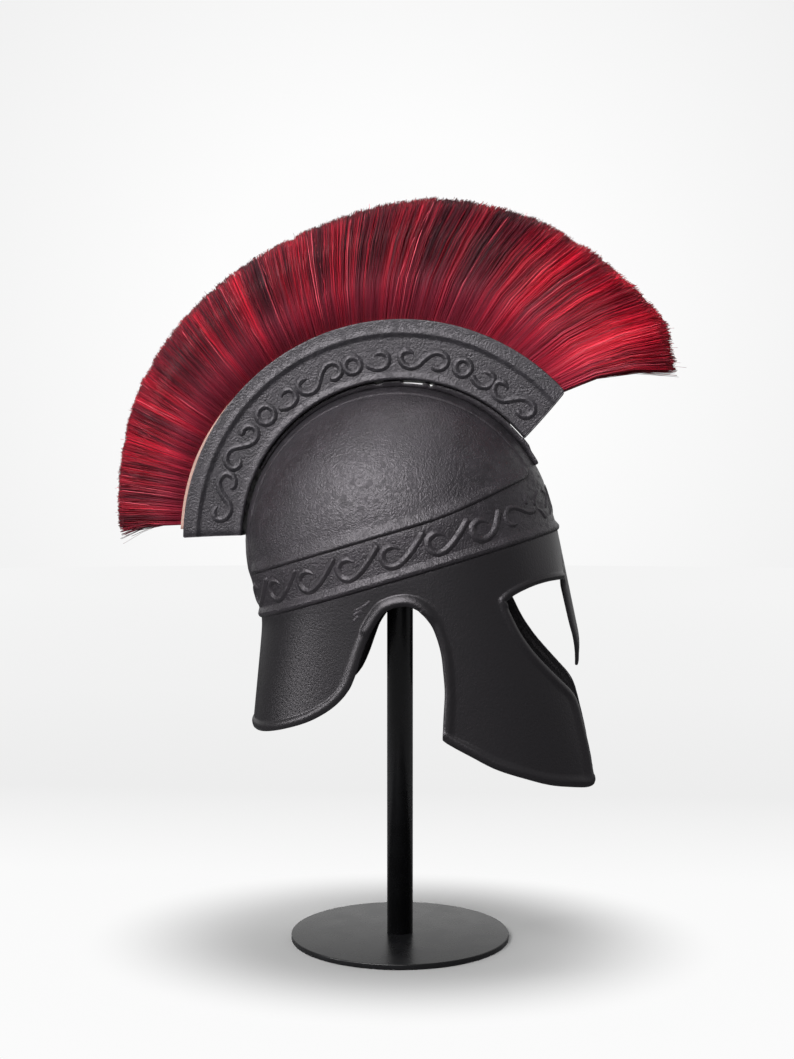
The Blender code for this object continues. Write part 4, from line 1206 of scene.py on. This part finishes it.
floor_mix = add_node(floor_paint, "ShaderNodeMixShader", {"Fac": floor_painted_shadow_fade, 1: floor_shader, 2: floor_glow})
floor_dark = add_node(floor_paint, "ShaderNodeBsdfDiffuse", {"Color": (0.16, 0.16, 0.165, 1.0)})
floor_seen = add_node(floor_paint, "ShaderNodeLightPath").outputs["Is Camera Ray"]
floor_out = add_node(floor_paint, "ShaderNodeMixShader", {"Fac": floor_seen, 1: floor_dark, 2: floor_mix})
feed(floor_paint.node_tree.nodes["Material Output"], {"Surface": floor_out})

# The surround is a lit white backdrop behind the helmet and a dark room in front of it. Straight to the
# camera it shows nearly white, and brightest behind the helmet.
world = bpy.data.worlds.new("white_surround")
bpy.context.scene.world = world
world.use_nodes = True
surround_way = add_node(world, "ShaderNodeTexCoord").outputs["Generated"]
surround_room = add_node(world, "ShaderNodeSeparateXYZ", {"Vector": surround_way}).outputs["Y"]
surround_room = {"Value": surround_room, "From Min": 0.2, "From Max": 0.8, "To Min": 0.22, "To Max": 0.62}
surround_room = add_node(world, "ShaderNodeMapRange", surround_room)
surround_off = {0: surround_way, 1: (-0.09, 0.99, 0.1)}
surround_off = add_node(world, "ShaderNodeVectorMath", surround_off, operation="DISTANCE")
surround_shown = {"Value": surround_off, "From Min": 0.12, "From Max": 0.34, "To Min": 0.982, "To Max": 0.865}
surround_shown = add_node(world, "ShaderNodeMapRange", surround_shown)
surround_seen = add_node(world, "ShaderNodeLightPath").outputs["Is Camera Ray"]
surround_level = {"Factor": surround_seen, "A": surround_room, "B": surround_shown}
surround_level = add_node(world, "ShaderNodeMix", surround_level)
feed(world.node_tree.nodes["Background"], {"Color": (1.0, 1.0, 1.0, 1.0), "Strength": surround_level})


def facing(place, back):
    """Place and turn of a light or a camera at a place, whose back is turned along a direction."""
    back = np.array(back) / np.linalg.norm(back)
    right = np.cross((0.0, 1.0, 0.0) if abs(back[2]) > 0.9 else (0.0, 0.0, 1.0), back)
    right = right / np.linalg.norm(right)
    matrix = np.eye(4)
    matrix[:3] = np.stack([right, np.cross(back, right), back, place], -1)
    return matrix.T.tolist()


def soft_light(name, place, aim, size, power, spread):
    """A gridded softbox at a place, turned towards a point. Spread is the whole angle that it shines into."""
    light = bpy.data.lights.new(name, "AREA")
    light.shape = "RECTANGLE"
    light.size, light.size_y = size
    light.energy = power
    light.spread = math.radians(spread)
    lamp = bpy.data.objects.new(name, light)
    lamp.matrix_world = facing(place, np.subtract(place, aim))
    bpy.context.scene.collection.objects.link(lamp)


soft_light("key_softbox", (-0.44, -1.17, 1.27), (0.06, -0.07, 0.55), (1.6, 1.2), 11.5, 75.0)
soft_light("left_softbox", (-1.0, -1.1, 0.5), (-0.05, -0.05, 0.4), (0.8, 1.0), 0.36, 60.0)
soft_light("low_softbox", (-1.3, -0.6, 0.3), (-0.12, -0.05, 0.1), (0.4, 0.4), 0.27, 30.0)
soft_light("right_softbox", (1.5, 0.3, 0.7), (0.0, 0.0, 0.4), (1.2, 1.2), 0.4, 90.0)
soft_light("top_softbox", (0.0, 0.3, 1.9), (0.0, 0.0, 0.0), (0.9, 0.9), 5.2, 120.0)
soft_light("hair_softbox", (0.1, -1.0, 1.7), (0.28, 0.0, 0.61), (0.2, 0.2), 0.09, 18.0)

camera_data = bpy.data.cameras.new("studio_camera")
camera_data.sensor_fit = "VERTICAL"
camera_data.sensor_height = 24.0
camera_data.lens = LENS
camera = bpy.data.objects.new("studio_camera", camera_data)
camera.matrix_world = facing(CAMERA_AT, np.negative(CAMERA_AHEAD))
bpy.context.scene.collection.objects.link(camera)
bpy.context.scene.camera = camera
bpy.context.scene.view_settings.view_transform = "Standard"
